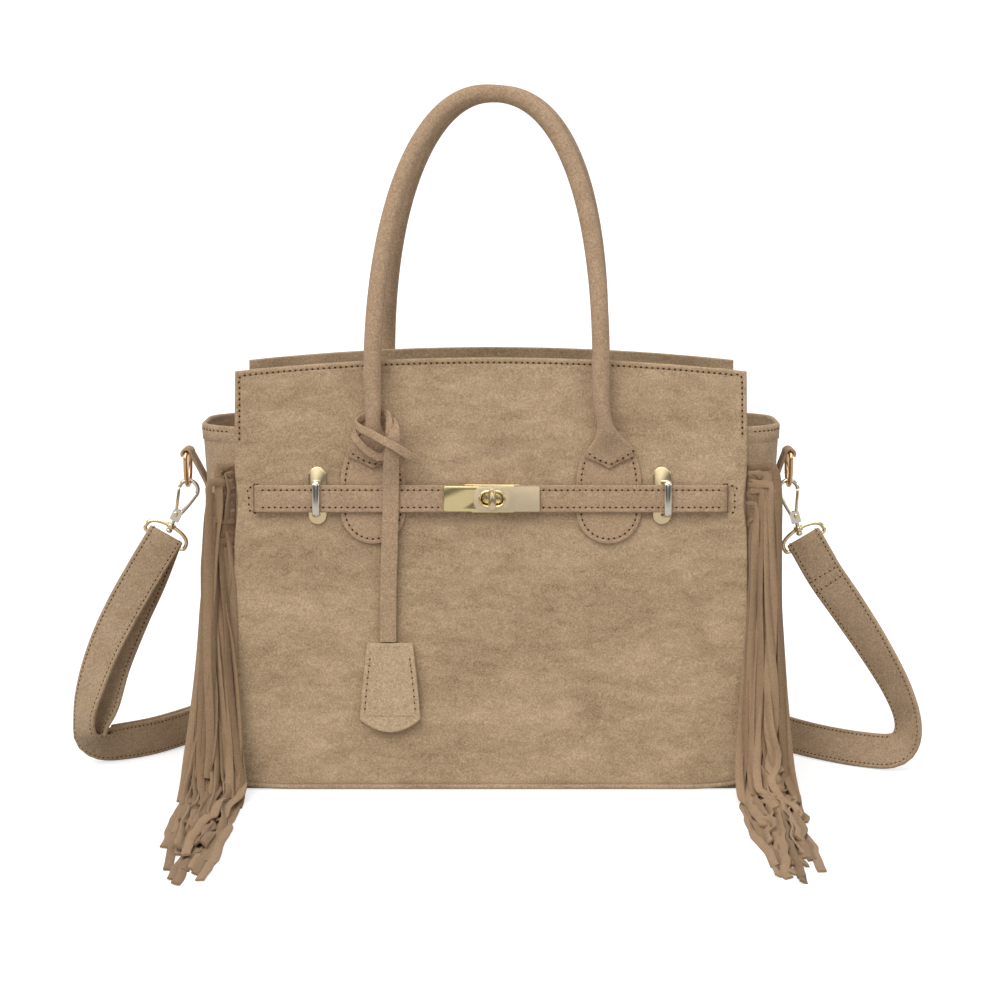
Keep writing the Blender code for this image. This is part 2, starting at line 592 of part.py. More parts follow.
# ---- shoulder strap ----
def strap_route():
    """Hand-set stations of the strap: x, y, z and the way its width points."""
    ring_tilt = [math.radians(t) for t in STRAP_RING_TILT]
    stations = []
    x, z, _ = clasp_place(0)
    bar_x = x - STRAP_RING_HEIGHT * math.sin(ring_tilt[0])
    bar_z = z - STRAP_RING_HEIGHT * math.cos(ring_tilt[0])
    bar_way = (math.cos(ring_tilt[0]), 0, -math.sin(ring_tilt[0]))
    down = Vector((-math.sin(ring_tilt[0]), 0, -math.cos(ring_tilt[0])))
    # sewn end at the slider, along the floor, then up to the left ring's bar
    stations += [
        (-0.2100, 0.0680, 0.0142, 0.0, 0.0, 1.0),
        (-0.2232, 0.0463, 0.0138, 0.0, 0.05, 1.0),
        (-0.2388, 0.0260, 0.0134, 0.0, 0.05, 1.0),
        (-0.2566, 0.0112, 0.0134, 0.0, -0.05, 1.0),
        (-0.2680, 0.0024, 0.0150, 0.15, -0.25, 0.95),
        (-0.2722, -0.0028, 0.0212, 0.40, -0.50, 0.70),
        (-0.2708, -0.0038, 0.0292, 0.60, -0.58, 0.35),
        (-0.2652, -0.0030, 0.0430, 0.75, -0.55, 0.05),
        (-0.2590, 0.0010, 0.0700, 0.83, -0.40, -0.15),
        (-0.2480, 0.0050, 0.1000, 0.88, -0.20, -0.30),
        (-0.2350, 0.0070, 0.1290, 0.88, -0.05, -0.42),
    ]
    turn = 0.0013 + GAP + STRAP_WALL / 2 + 0.0001
    for degrees in (-15, 25, 65, 90, 115, 155, 195):
        a = math.radians(degrees)
        back = turn * math.cos(a)
        over = turn * math.sin(a)
        point = Vector((bar_x, back, bar_z)) - down * over
        stations.append((*point, *bar_way))
    # outer run: down from the ring to the floor on the left
    stations += [
        (-0.2345, -0.0052, 0.1390, 0.88, -0.08, -0.44),
        (-0.2490, -0.0085, 0.1140, 0.87, -0.15, -0.40),
        (-0.2622, -0.0110, 0.0880, 0.84, -0.35, -0.30),
        (-0.2725, -0.0130, 0.0610, 0.77, -0.52, -0.15),
        (-0.2785, -0.0130, 0.0380, 0.62, -0.68, 0.05),
        (-0.2775, -0.0090, 0.0210, 0.45, -0.60, 0.50),
        (-0.2680, -0.0020, 0.0142, 0.15, -0.30, 0.95),
        (-0.2540, 0.0080, 0.0130, 0.0, -0.05, 1.0),
        (-0.2360, 0.0230, 0.0130, 0.0, 0.0, 1.0),
        (-0.2190, 0.0430, 0.0140, 0.0, 0.0, 1.0),
        (-0.2050, 0.0620, 0.0156, 0.0, 0.0, 1.0),
        (-0.1880, 0.0800, 0.0145, 0.0, 0.10, 1.0),
        (-0.1600, 0.0940, 0.0126, 0.0, 0.30, 0.95),
        (-0.1000, 0.0990, 0.0120, 0.0, 0.40, 0.92),
        (-0.0300, 0.1000, 0.0120, 0.0, 0.40, 0.92),
        (0.0400, 0.1000, 0.0120, 0.0, 0.40, 0.92),
        (0.1000, 0.0990, 0.0120, 0.0, 0.40, 0.92),
        (0.1580, 0.0920, 0.0120, 0.05, 0.40, 0.92),
        (0.1880, 0.0690, 0.0116, 0.15, 0.45, 0.88),
        (0.2060, 0.0420, 0.0114, 0.28, 0.48, 0.83),
        (0.2280, 0.0160, 0.0112, 0.28, 0.50, 0.82),
        (0.2540, -0.0050, 0.0112, 0.15, 0.52, 0.84),
        (0.2740, -0.0160, 0.0128, -0.10, 0.60, 0.78),
        (0.2830, -0.0185, 0.0205, -0.40, 0.74, 0.50),
        (0.2842, -0.0180, 0.0350, -0.58, 0.78, 0.16),
        (0.2768, -0.0155, 0.0560, -0.68, 0.68, -0.14),
        (0.2615, -0.0120, 0.0830, -0.77, 0.50, -0.32),
        (0.2430, -0.0085, 0.1110, -0.82, 0.24, -0.45),
        (0.2270, -0.0060, 0.1340, -0.85, 0.0, -0.51),
    ]
    x, z, _ = clasp_place(1)
    bar_x = x + STRAP_RING_HEIGHT * math.sin(ring_tilt[1])
    bar_z = z - STRAP_RING_HEIGHT * math.cos(ring_tilt[1])
    bar_way = (-math.cos(ring_tilt[1]), 0, -math.sin(ring_tilt[1]))
    down = Vector((math.sin(ring_tilt[1]), 0, -math.cos(ring_tilt[1])))
    for degrees in (-165, -205, -245, -270, -295, -335, -360):
        a = math.radians(degrees)
        point = Vector((bar_x, turn * math.cos(a), bar_z)) - down * turn * math.sin(a)
        stations.append((*point, *bar_way))
    for along in (0.006, 0.020):
        point = Vector((bar_x, turn - 0.0003, bar_z)) + down * along
        stations.append((*point, *bar_way))
    return stations


def build_strap(finish):
    """Flat strap, doubled through the left ring and sewn round the right one."""
    path = smooth_path(strap_route(), 0.0075)
    points = [row[:3] for row in path]
    ways = [Vector(row[3:]) for row in path]
    mesh = sweep(points, ways, flat_section(STRAP_WIDTH, STRAP_WALL), smooth=False)
    new_object("shoulder_strap", mesh, finish["suede"])


def build_slider(finish):
    """Strap slider: a frame with its middle bar set between the two plies."""
    gold = finish["pale_gold"]
    empty = bpy.data.objects.new("slider_frame", None)
    bpy.context.scene.collection.objects.link(empty)
    along = Vector((0.60, 0.80, 0)).normalized()
    place = Matrix((along, Vector((0, 0, 1)), along.cross(Vector((0, 0, 1))))).transposed().to_4x4()
    place.translation = (-0.2030, 0.0640, 0.0156)
    empty.matrix_world = place
    frame = rounded_box(-0.0075, -0.0143, 0.0075, 0.0143, 0.002)
    points = [(x, y, -0.0035) for x, y in frame]
    mesh = sweep(points, (0, 0, 1), ellipse(0.0011, 0.0011, 8), ring=True)
    new_object("strap_slider", mesh, gold, empty)


# ---- hanging tag ----
def lace_route():
    """Hand-set stations of the lace: across, up the panel and out of its face, half width,
    and the way its width points."""
    return [
        # pointed tail, over the hanging part and across the handle's front
        (-0.0446, 0.2176, 0.0125, 0.0018, 0.50, 0.86, 0.0),
        (-0.0520, 0.2218, 0.0168, 0.0028, 0.50, 0.86, 0.0),
        (-0.0597, 0.2267, 0.0194, 0.0028, 0.50, 0.86, 0.0),
        (-0.0680, 0.2312, 0.0194, 0.0027, 0.50, 0.86, 0.0),
        (-0.0770, 0.2362, 0.0180, 0.0026, 0.40, 0.92, 0.0),
        (-0.0850, 0.2400, 0.0145, 0.0025, 0.15, 0.98, 0.0),
        # first turn, behind the handle to its right side
        (-0.0880, 0.2430, 0.0095, 0.0024, 0.0, 1.0, 0.0),
        (-0.0850, 0.2462, 0.0050, 0.0024, 0.0, 1.0, 0.0),
        (-0.0770, 0.2490, 0.0026, 0.0024, 0.0, 1.0, 0.0),
        (-0.0700, 0.2500, 0.0050, 0.0024, 0.1, 1.0, 0.0),
        (-0.0668, 0.2480, 0.0105, 0.0024, 0.4, 0.9, 0.3),
        (-0.0660, 0.2420, 0.0140, 0.0025, 0.9, 0.3, 0.3),
        (-0.0662, 0.2330, 0.0140, 0.0026, 1.0, 0.1, 0.0),
        (-0.0672, 0.2250, 0.0118, 0.0026, 0.9, -0.4, 0.0),
        # back across the flare, behind the hanging part, to the left side
        (-0.0720, 0.2208, 0.0098, 0.0026, 0.2, -1.0, 0.0),
        (-0.0790, 0.2240, 0.0102, 0.0026, -0.45, -0.9, 0.0),
        (-0.0855, 0.2300, 0.0108, 0.0025, -0.6, -0.8, 0.0),
        (-0.0895, 0.2360, 0.0085, 0.0024, -0.5, -0.85, 0.0),
        # second turn, lower behind the handle, out at the right side
        (-0.0870, 0.2405, 0.0042, 0.0023, -0.2, -1.0, 0.0),
        (-0.0770, 0.2432, 0.0021, 0.0023, 0.0, -1.0, 0.0),
        (-0.0680, 0.2440, 0.0045, 0.0023, 0.0, -1.0, 0.0),
        (-0.0636, 0.2440, 0.0110, 0.0026, -0.4, -0.9, -0.3),
        (-0.0624, 0.2390, 0.0158, 0.0034, -0.9, -0.3, -0.3),
        # hanging part, over the belt and down the panel to the tag
        (-0.0632, 0.2320, 0.0165, 0.0044, -1.0, -0.1, 0.0),
        (-0.0645, 0.2210, 0.0146, 0.0051, -1.0, 0.0, 0.0),
        (-0.0652, 0.2090, 0.0105, 0.0054, -1.0, 0.0, 0.0),
        (-0.0655, 0.1950, 0.0068, 0.0054, -1.0, 0.0, 0.0),
        (-0.0662, 0.1700, 0.0056, 0.0054, -1.0, 0.0, 0.0),
        (-0.0672, 0.1400, 0.0042, 0.0054, -1.0, 0.0, 0.0),
        (-0.0676, 0.1150, 0.0034, 0.0054, -1.0, 0.0, 0.0),
        (-0.0676, 0.0990, 0.0032, 0.0054, -1.0, 0.0, 0.0),
    ]


def build_lace_and_tag(finish, face):
    """Flat lace tied twice round the left handle's foot, with a bell-shaped tag of two plies."""
    path = smooth_path(lace_route(), 0.0042)
    sections = [flat_section(2 * row[3], LACE_WALL) for row in path]
    mesh = sweep([row[:3] for row in path], [Vector(row[4:]) for row in path], sections,
                 smooth=False)
    new_object("tag_lace", mesh, finish["suede"], face)

    low = TAG_BOTTOM / math.cos(LEAN)
    top = low + TAG_HEIGHT
    outline = []
    for i in range(11):
        t = -1 + 2 * i / 10
        outline.append((0.0200 * t, low + 0.0085 * t * t))
    outline += [(0.0188, low + 0.025), (0.0155, top - 0.002), (0.0140, top), (-0.0140, top),
                (-0.0155, top - 0.002), (-0.0188, low + 0.025)]
    place = (-0.0665, 0, 0)
    mesh = slab(outline, 0.0006, 0.0026)
    new_object("tag_back", mesh, finish["suede"], face, place)
    new_object("tag_front", slab(outline, 0.0029, 0.0049), finish["suede"], face, place)


# ---- fringes ----
def build_fringes(finish):
    """Outer shape of each side's strands: down from the front seam, then out along the floor."""
    # across from the middle, forward, height, half width, half thickness
    stations = (
        (0.1790, -0.0580, 0.2070, 0.0070, 0.0035),
        (0.1860, -0.0675, 0.1800, 0.0140, 0.0115),
        (0.1884, -0.0765, 0.1200, 0.0162, 0.0145),
        (0.1889, -0.0845, 0.0550, 0.0167, 0.0160),
        (0.1872, -0.0950, 0.0290, 0.0180, 0.0145),
        (0.1845, -0.1180, 0.0135, 0.0205, 0.0110),
        (0.1818, -0.1600, 0.0092, 0.0235, 0.0085),
        (0.1802, -0.2200, 0.0070, 0.0240, 0.0062),
        (0.1796, -0.2830, 0.0044, 0.0225, 0.0036),
    )
    for word, side in (("left", -1), ("right", 1)):
        path = smooth_path(stations, 0.016)
        points = [(side * row[0], row[1], row[2]) for row in path]
        sections = [rounded_box(-row[3], -row[4], row[3], row[4], row[4] * 0.6, 2)
                    for row in path]
        mesh = sweep(points, (1, 0, 0), sections)
        new_object(f"{word}_fringe", mesh, finish["suede"])


def main():
    """Clear the scene and build every piece."""
    for obj in list(bpy.data.objects):
        bpy.data.objects.remove(obj)
    finish = make_materials()
    faces = (face_empty("front_face", -1), face_empty("back_face", 1))
    bpy.context.view_layer.update()
    build_panels(finish, faces)
    build_gussets(finish)
    build_base(finish)
    build_lining(finish)
    build_handles(finish)
    build_tabs(finish, faces)
    build_belts(finish, faces[0])
    build_lock(finish, faces[0])
    build_staples(finish, faces[0])
    build_side_tabs(finish)
    build_d_rings(finish)
    build_clasps(finish)
    build_strap_rings(finish)
    build_strap(finish)
    build_slider(finish)
    build_lace_and_tag(finish, faces[0])
    build_fringes(finish)
    bpy.context.view_layer.update()


main()
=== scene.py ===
"""Looks of a fringed suede tote: suede panels with topstitching, rolled handles, a belt with a
turn lock, a tied tag, side fringes and a clip-on strap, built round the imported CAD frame.
Metres, +Z up, front towards -Y.
"""

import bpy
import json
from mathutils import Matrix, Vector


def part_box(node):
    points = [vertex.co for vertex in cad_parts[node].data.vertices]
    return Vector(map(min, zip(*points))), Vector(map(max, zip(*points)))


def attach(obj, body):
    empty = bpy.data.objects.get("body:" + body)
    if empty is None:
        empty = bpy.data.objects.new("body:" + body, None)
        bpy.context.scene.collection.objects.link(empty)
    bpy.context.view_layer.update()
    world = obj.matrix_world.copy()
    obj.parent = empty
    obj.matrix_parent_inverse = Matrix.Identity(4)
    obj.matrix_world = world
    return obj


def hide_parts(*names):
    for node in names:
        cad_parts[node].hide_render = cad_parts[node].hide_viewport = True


bl_info = {
    "name": "Fringed suede tote",
    "version": (1, 0, 0),
    "blender": (4, 5, 0),
    "location": "View3D > Sidebar > Tote",
    "description": "Builds a fringed suede tote and its studio round a packed CAD frame",
    "category": "Object",
}

import json
import math

import bmesh
import bpy
import numpy as np
from bpy.props import FloatProperty, FloatVectorProperty, IntProperty, PointerProperty
from mathutils import Matrix, Vector, noise

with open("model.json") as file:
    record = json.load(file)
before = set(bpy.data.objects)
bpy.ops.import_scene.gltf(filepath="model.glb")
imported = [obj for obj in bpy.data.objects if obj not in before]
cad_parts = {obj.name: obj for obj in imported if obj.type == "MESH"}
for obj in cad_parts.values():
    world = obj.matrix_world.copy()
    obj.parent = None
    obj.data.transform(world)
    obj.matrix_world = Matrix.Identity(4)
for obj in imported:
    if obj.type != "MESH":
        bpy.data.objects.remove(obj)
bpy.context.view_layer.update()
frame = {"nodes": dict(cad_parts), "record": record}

# ---- measures, in metres, from the frame where it gives them ----
PANEL_LOW, PANEL_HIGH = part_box("front_panel")
FOOT = round(-PANEL_LOW.y, 3)            # front face to the middle plane, at the floor
HALF_BASE = round(PANEL_HIGH.x, 3)
RISE = round(PANEL_HIGH.z, 3)            # middle of the arched top edge
HALF_TOP = 0.168
HALF_TOP_DEPTH = 0.045
TOP_ARCH = 0.009
LEAN = math.atan2(FOOT - HALF_TOP_DEPTH, RISE)
STAGE_RADIUS = 30.0
PANEL_WALL = 0.003
GAP = 0.0003
GUSSET_HEIGHT = round(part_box("left_gusset")[1].z, 3)
GUSSET_SEAM = 0.166                      # gusset's outer face at its seams
GUSSET_BULGE = 0.028
GUSSET_WALL = 0.0025
SEAM_INSET = 0.0033                      # stitch line to edge
BELT_UP = 0.1935                         # belt's centre line, up the panel
BELT_WIDTH = 0.018
BELT_WALL = 0.0024
BELT_BACK = 0.0026
BELT_TOP = BELT_BACK + BELT_WALL
SLIT_X = 0.1545
LOCK_X = 0.0009
TAB_X = 0.0775
TAB_WALL = 0.0017
STAPLE_X = (-0.1140, 0.1125)
STAPLE_LEAN = (-0.0007, 0.0036)
HANDLE_SPAN = 0.0745
HANDLE_SHIFT = {-1: -0.0027, 1: 0.0016}   # front one a little left, back one a little right
HANDLE_SPRING = 0.270
HANDLE_TOP = 0.4567
HANDLE_POWER = {1: 2.42, -1: 2.15}       # right and left half of the arch
HANDLE_RADIUS = 0.0059
HANDLE_STANDOFF = 0.0095
STRAP_WIDTH = 0.025
STRAP_WALL = 0.0030
STRAP_RING_TILT = (30.0, 31.0)
STRAP_RING_HEIGHT = 0.0108
STRAP_RING_HALF = 0.0153
HOOK_ARCH = 0.0064
HOOK_STEM = 0.0279
HOOK_WIRE = 0.0014
RING_DROP = 0.0222
RING_WIRE = 0.0015
LACE_WALL = 0.0016
TAG_X = -0.0665
LOCK_SLOT = (0.0085, 0.0150)             # width and height of the slots in the lock plates
EYELET_TOP = 0.0085                      # raised rim of the slot, out of the panel's face
STAPLE_TOP = 0.0073                      # loop's bar, out of the panel's face
STAPLE_REACH = 0.0110                    # loop's legs from the belt's centre line
STAPLE_BEND = 0.0022
STRAP_STITCH_INSET = 0.0026
SEAM_X = 0.1690                          # front side seam that a fringe hangs from
SEAM_BACK = 0.0045                       # seam behind the front face
FRINGE_LOW, FRINGE_HIGH = 0.0120, 0.2120
STRAND_NODES = 24
STRAND_GAP = 0.0046                      # kept between nodes of different strands
LANDING = 0.050                          # height where a strand begins to turn forward
PILE = 0.007                             # how high strands lie on each other
SETTLE_STEPS = 50
JOIN_PASSES = 10
TIME_STEP = 1 / 240
GRAVITY = 9.81
CAMERA_PLACE = (0.006, -1.570, 0.413)
CAMERA_PITCH = 8.30                      # degrees down from level
CAMERA_LENS = 83.88
SENSOR_WIDTH = 36
JOINTS = {joint["name"]: joint for joint in frame["record"]["behaviour"]["joints"]}


def ring_bar(word):
    """Middle of a D-ring's bar."""
    low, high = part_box(f"{word}_d_ring")
    return Vector(((low.x + high.x) / 2, (low.y + high.y) / 2, high.z - RING_WIRE))


materials = {}


def srgb(red, green, blue):
    """Linear colour of an 8-bit sRGB one."""
    def linear(value):
        value /= 255
        return value / 12.92 if value <= 0.04045 else ((value + 0.055) / 1.055) ** 2.4
    return tuple(linear(value) for value in (red, green, blue))


# ---- settings ----
class SuedeSettings(bpy.types.PropertyGroup):
    body: FloatVectorProperty(
        name="Body", description="Suede of the panels", subtype="COLOR", size=3,
        default=srgb(177, 151, 121))
    trim: FloatVectorProperty(
        name="Trim", description="Suede of the belt, tabs and handles", subtype="COLOR", size=3,
        default=srgb(175, 147, 119))
    fringe: FloatVectorProperty(
        name="Fringe", description="Suede of the strands", subtype="COLOR", size=3,
        default=srgb(155, 128, 100))
    strap: FloatVectorProperty(
        name="Strap", description="Suede of the shoulder strap", subtype="COLOR", size=3,
        default=srgb(172, 147, 119))
    cloud: FloatProperty(
        name="Cloud size", description="Size of the brushed patches", default=0.034,
        unit="LENGTH", min=0.002)
    grain: FloatProperty(
        name="Grain size", description="Size of the nap's grain", default=0.0011,
        unit="LENGTH", min=0.0001)
    nap: FloatProperty(
        name="Nap height", description="Height of the nap's relief", default=0.0005,
        unit="LENGTH", min=0.0)


class MetalSettings(bpy.types.PropertyGroup):
    gold: FloatVectorProperty(
        name="Gold", description="Pale gold plating", subtype="COLOR", size=3,
        default=srgb(236, 214, 170))
    bright: FloatVectorProperty(
        name="Bright", description="Silvery plating of the staples and hooks", subtype="COLOR",
        size=3, default=srgb(230, 222, 206))
    bevel: FloatProperty(
        name="Edge bevel", description="Rounding of cut edges", default=0.0003, unit="LENGTH",
        min=0.0)


class StitchSettings(bpy.types.PropertyGroup):
    pitch: FloatProperty(
        name="Pitch", description="Stitch to stitch", default=0.0037, unit="LENGTH", min=0.001)
    length: FloatProperty(
        name="Length", description="Thread seen between two holes", default=0.0027,
        unit="LENGTH", min=0.0005)
    thread: FloatProperty(
        name="Thread", description="Thread thickness", default=0.00062, unit="LENGTH",
        min=0.0001)
    hole: FloatProperty(
        name="Hole", description="Needle hole", default=0.0014, unit="LENGTH", min=0.0001)


class FringeSettings(bpy.types.PropertyGroup):
    strands: IntProperty(
        name="Strands", description="Strands on each side", default=42, min=1, max=60)
    length: FloatProperty(
        name="Length", description="Length of a strand", default=0.225, unit="LENGTH", min=0.02)
    width: FloatProperty(
        name="Width", description="Width of a strand", default=0.0056, unit="LENGTH", min=0.001)
    wall: FloatProperty(
        name="Thickness", description="Thickness of a strand", default=0.0014, unit="LENGTH",
        min=0.0003)
    seed: IntProperty(name="Seed", description="Start of the random draws", default=7)


class ToteSettings(bpy.types.PropertyGroup):
    suede: PointerProperty(type=SuedeSettings)
    metal: PointerProperty(type=MetalSettings)
    stitch: PointerProperty(type=StitchSettings)
    fringe: PointerProperty(type=FringeSettings)


# ---- shader groups ----
class Nodes:
    """Short way to add nodes to a tree and join them."""

    def __init__(self, tree):
        self.tree = tree

    def add(self, kind, settings=None, **inputs):
        """A node with its properties, and inputs given as values or as sockets to join."""
        node = self.tree.nodes.new(kind)
        for key, value in (settings or {}).items():
            setattr(node, key, value)
        for key, value in inputs.items():
            self.put(node.inputs[key.replace("_", " ")], value)
        return node

    def put(self, socket, value):
        """Set a socket, or join it to another."""
        if isinstance(value, bpy.types.NodeSocket):
            self.tree.links.new(value, socket)
        else:
            socket.default_value = value

    def math(self, operation, *values):
        """Output of a Math node."""
        node = self.tree.nodes.new("ShaderNodeMath")
        node.operation = operation
        for socket, value in zip(node.inputs, values):
            self.put(socket, value)
        return node.outputs[0]

    def vector(self, operation, *values):
        """Output of a Vector Math node."""
        node = self.tree.nodes.new("ShaderNodeVectorMath")
        node.operation = operation
        for socket, value in zip(node.inputs, values):
            self.put(socket, value)
        return node.outputs[0]

    def noise(self, vector, scale, detail, roughness, distortion=0.0):
        """Factor of a Noise texture."""
        node = self.add("ShaderNodeTexNoise", None, Vector=vector, Scale=scale, Detail=detail,
                        Roughness=roughness, Distortion=distortion)
        return node.outputs["Fac"]


def new_group(name, inputs, outputs):
    """Empty shader group with named sockets; returns its node helper and group input."""
    tree = bpy.data.node_groups.new(name, "ShaderNodeTree")
    for label, kind, value in inputs:
        socket = tree.interface.new_socket(label, in_out="INPUT", socket_type=kind)
        if value is not None:
            socket.default_value = value
    for label, kind in outputs:
        tree.interface.new_socket(label, in_out="OUTPUT", socket_type=kind)
    nodes = Nodes(tree)
    return nodes, nodes.add("NodeGroupInput").outputs, nodes.add("NodeGroupOutput").inputs


FLOAT, COLOUR, VECTOR = "NodeSocketFloat", "NodeSocketColor", "NodeSocketVector"


def suede_group():
    """Brushed suede: patches of lighter and darker nap, fine grain and its relief."""
    nodes, given, out = new_group(
        "suede_nap",
        [("Colour", COLOUR, (0.4, 0.3, 0.2, 1)), ("Cloud Size", FLOAT, 0.03),
         ("Cloud Amount", FLOAT, 0.2), ("Brush", FLOAT, 2.0), ("Grain Size", FLOAT, 0.001),
         ("Grain Amount", FLOAT, 0.2), ("Nap Height", FLOAT, 0.0004), ("Shade", FLOAT, 1.0)],
        [("Colour", COLOUR), ("Roughness", FLOAT), ("Normal", VECTOR)])
    place = nodes.add("ShaderNodeTexCoord").outputs["Object"]
    squeeze = nodes.add("ShaderNodeCombineXYZ", None,
                        X=nodes.math("DIVIDE", 1.0, given["Brush"]), Y=1.0, Z=1.0).outputs[0]
    brushed = nodes.vector("MULTIPLY", place, squeeze)
    cloud_scale = nodes.math("DIVIDE", 1.0, given["Cloud Size"])
    clouds = nodes.noise(brushed, cloud_scale, 4.0, 0.62, 0.5)
    fine_scale = nodes.math("MULTIPLY", cloud_scale, 5.2)
    streaks = nodes.noise(brushed, fine_scale, 5.0, 0.72, 0.2)
    grain = nodes.noise(place, nodes.math("DIVIDE", 1.0, given["Grain Size"]), 3.0, 0.65)
    patches = nodes.math("ADD", nodes.math("MULTIPLY", clouds, 0.5),
                         nodes.math("MULTIPLY", streaks, 0.5))
    swing = nodes.math("MULTIPLY", nodes.math("SUBTRACT", patches, 0.5),
                       nodes.math("MULTIPLY", given["Cloud Amount"], 4.0))
    speck = nodes.math("MULTIPLY", nodes.math("SUBTRACT", grain, 0.5),
                       nodes.math("MULTIPLY", given["Grain Amount"], 4.0))
    tone = nodes.math("MAXIMUM", nodes.math("ADD", 1.0, nodes.math("ADD", swing, speck)), 0.25)
    tone = nodes.math("MULTIPLY", tone, given["Shade"])
    warm = nodes.add("ShaderNodeCombineXYZ", None, X=nodes.math("POWER", tone, 0.92),
                     Y=tone, Z=nodes.math("POWER", tone, 1.12)).outputs[0]
    nodes.put(out["Colour"], nodes.vector("MULTIPLY", given["Colour"], warm))
    nodes.put(out["Roughness"], nodes.math("SUBTRACT", 1.02, nodes.math("MULTIPLY", patches, 0.22)))
    height = nodes.math("ADD", nodes.math("MULTIPLY", grain, 0.7),
                        nodes.math("MULTIPLY", streaks, 0.5))
    bump = nodes.add("ShaderNodeBump", None, Height=height, Distance=given["Nap Height"],
                     Strength=0.9)
    nodes.put(out["Normal"], bump.outputs["Normal"])
    return nodes.tree


def plating_group():
    """Plated metal: handling haze, hairline polish marks and a faint change of tint."""
    nodes, given, out = new_group(
        "plating_wear",
        [("Colour", COLOUR, (0.8, 0.6, 0.3, 1)), ("Haze", FLOAT, 0.1), ("Polish", FLOAT, 0.15)],
        [("Colour", COLOUR), ("Roughness", FLOAT), ("Normal", VECTOR)])
    place = nodes.add("ShaderNodeTexCoord").outputs["Object"]
    smudge = nodes.noise(place, 160.0, 3.0, 0.6, 0.6)
    lines = nodes.noise(nodes.vector("MULTIPLY", place, (900.0, 900.0, 9000.0)), 1.0, 2.0, 0.5)
    tint = nodes.math("ADD", 0.93, nodes.math("MULTIPLY", smudge, 0.14))
    nodes.put(out["Colour"], nodes.vector("MULTIPLY", given["Colour"], tint))
    rough = nodes.math("ADD", given["Polish"], nodes.math("MULTIPLY", smudge, given["Haze"]))
    nodes.put(out["Roughness"], rough)
    bump = nodes.add("ShaderNodeBump", None, Height=lines, Distance=0.00001, Strength=0.4)
    nodes.put(out["Normal"], bump.outputs["Normal"])
    return nodes.tree


def weave_group():
    """Plain weave: warp and weft that pass over each other."""
    nodes, given, out = new_group(
        "plain_weave",
        [("Colour", COLOUR, (0.2, 0.1, 0.1, 1)), ("Thread", FLOAT, 0.0008),
         ("Relief", FLOAT, 0.0002)],
        [("Colour", COLOUR), ("Roughness", FLOAT), ("Normal", VECTOR)])
    place = nodes.add("ShaderNodeTexCoord").outputs["Object"]
    turns = nodes.vector("SCALE", place, (0, 0, 0))
    scale_node = turns.node
    nodes.put(scale_node.inputs["Scale"], nodes.math("DIVIDE", math.pi, given["Thread"]))
    parts = nodes.add("ShaderNodeSeparateXYZ", None, Vector=turns).outputs
    across = nodes.math("SINE", nodes.math("ADD", parts["X"], parts["Y"]))
    along = nodes.math("SINE", parts["Z"])
    cloth = nodes.math("MULTIPLY", across, along)
    slub = nodes.noise(place, 90.0, 4.0, 0.6)
    tone = nodes.math("ADD", nodes.math("ADD", 0.75, nodes.math("MULTIPLY", cloth, 0.14)),
                      nodes.math("MULTIPLY", slub, 0.5))
    nodes.put(out["Colour"], nodes.vector("MULTIPLY", given["Colour"], tone))
    nodes.put(out["Roughness"], nodes.math("ADD", 0.7, nodes.math("MULTIPLY", slub, 0.3)))
    bump = nodes.add("ShaderNodeBump", None, Height=cloth, Distance=given["Relief"],
                     Strength=0.8)
    nodes.put(out["Normal"], bump.outputs["Normal"])
    return nodes.tree


def grouped_material(name, tree, group_inputs, shader_inputs):
    """A Principled material whose colour, roughness and normal come from a shared group."""
    material = bpy.data.materials.new(name)
    material.use_nodes = True
    nodes = Nodes(material.node_tree)
    shader = material.node_tree.nodes["Principled BSDF"]
    group = nodes.add("ShaderNodeGroup", {"node_tree": tree})
    for key, value in group_inputs.items():
        nodes.put(group.inputs[key], value)
    nodes.put(shader.inputs["Base Color"], group.outputs["Colour"])
    nodes.put(shader.inputs["Roughness"], group.outputs["Roughness"])
    nodes.put(shader.inputs["Normal"], group.outputs["Normal"])
    for key, value in shader_inputs.items():
        shader.inputs[key].default_value = value
    materials[name] = material
    return nodes, group


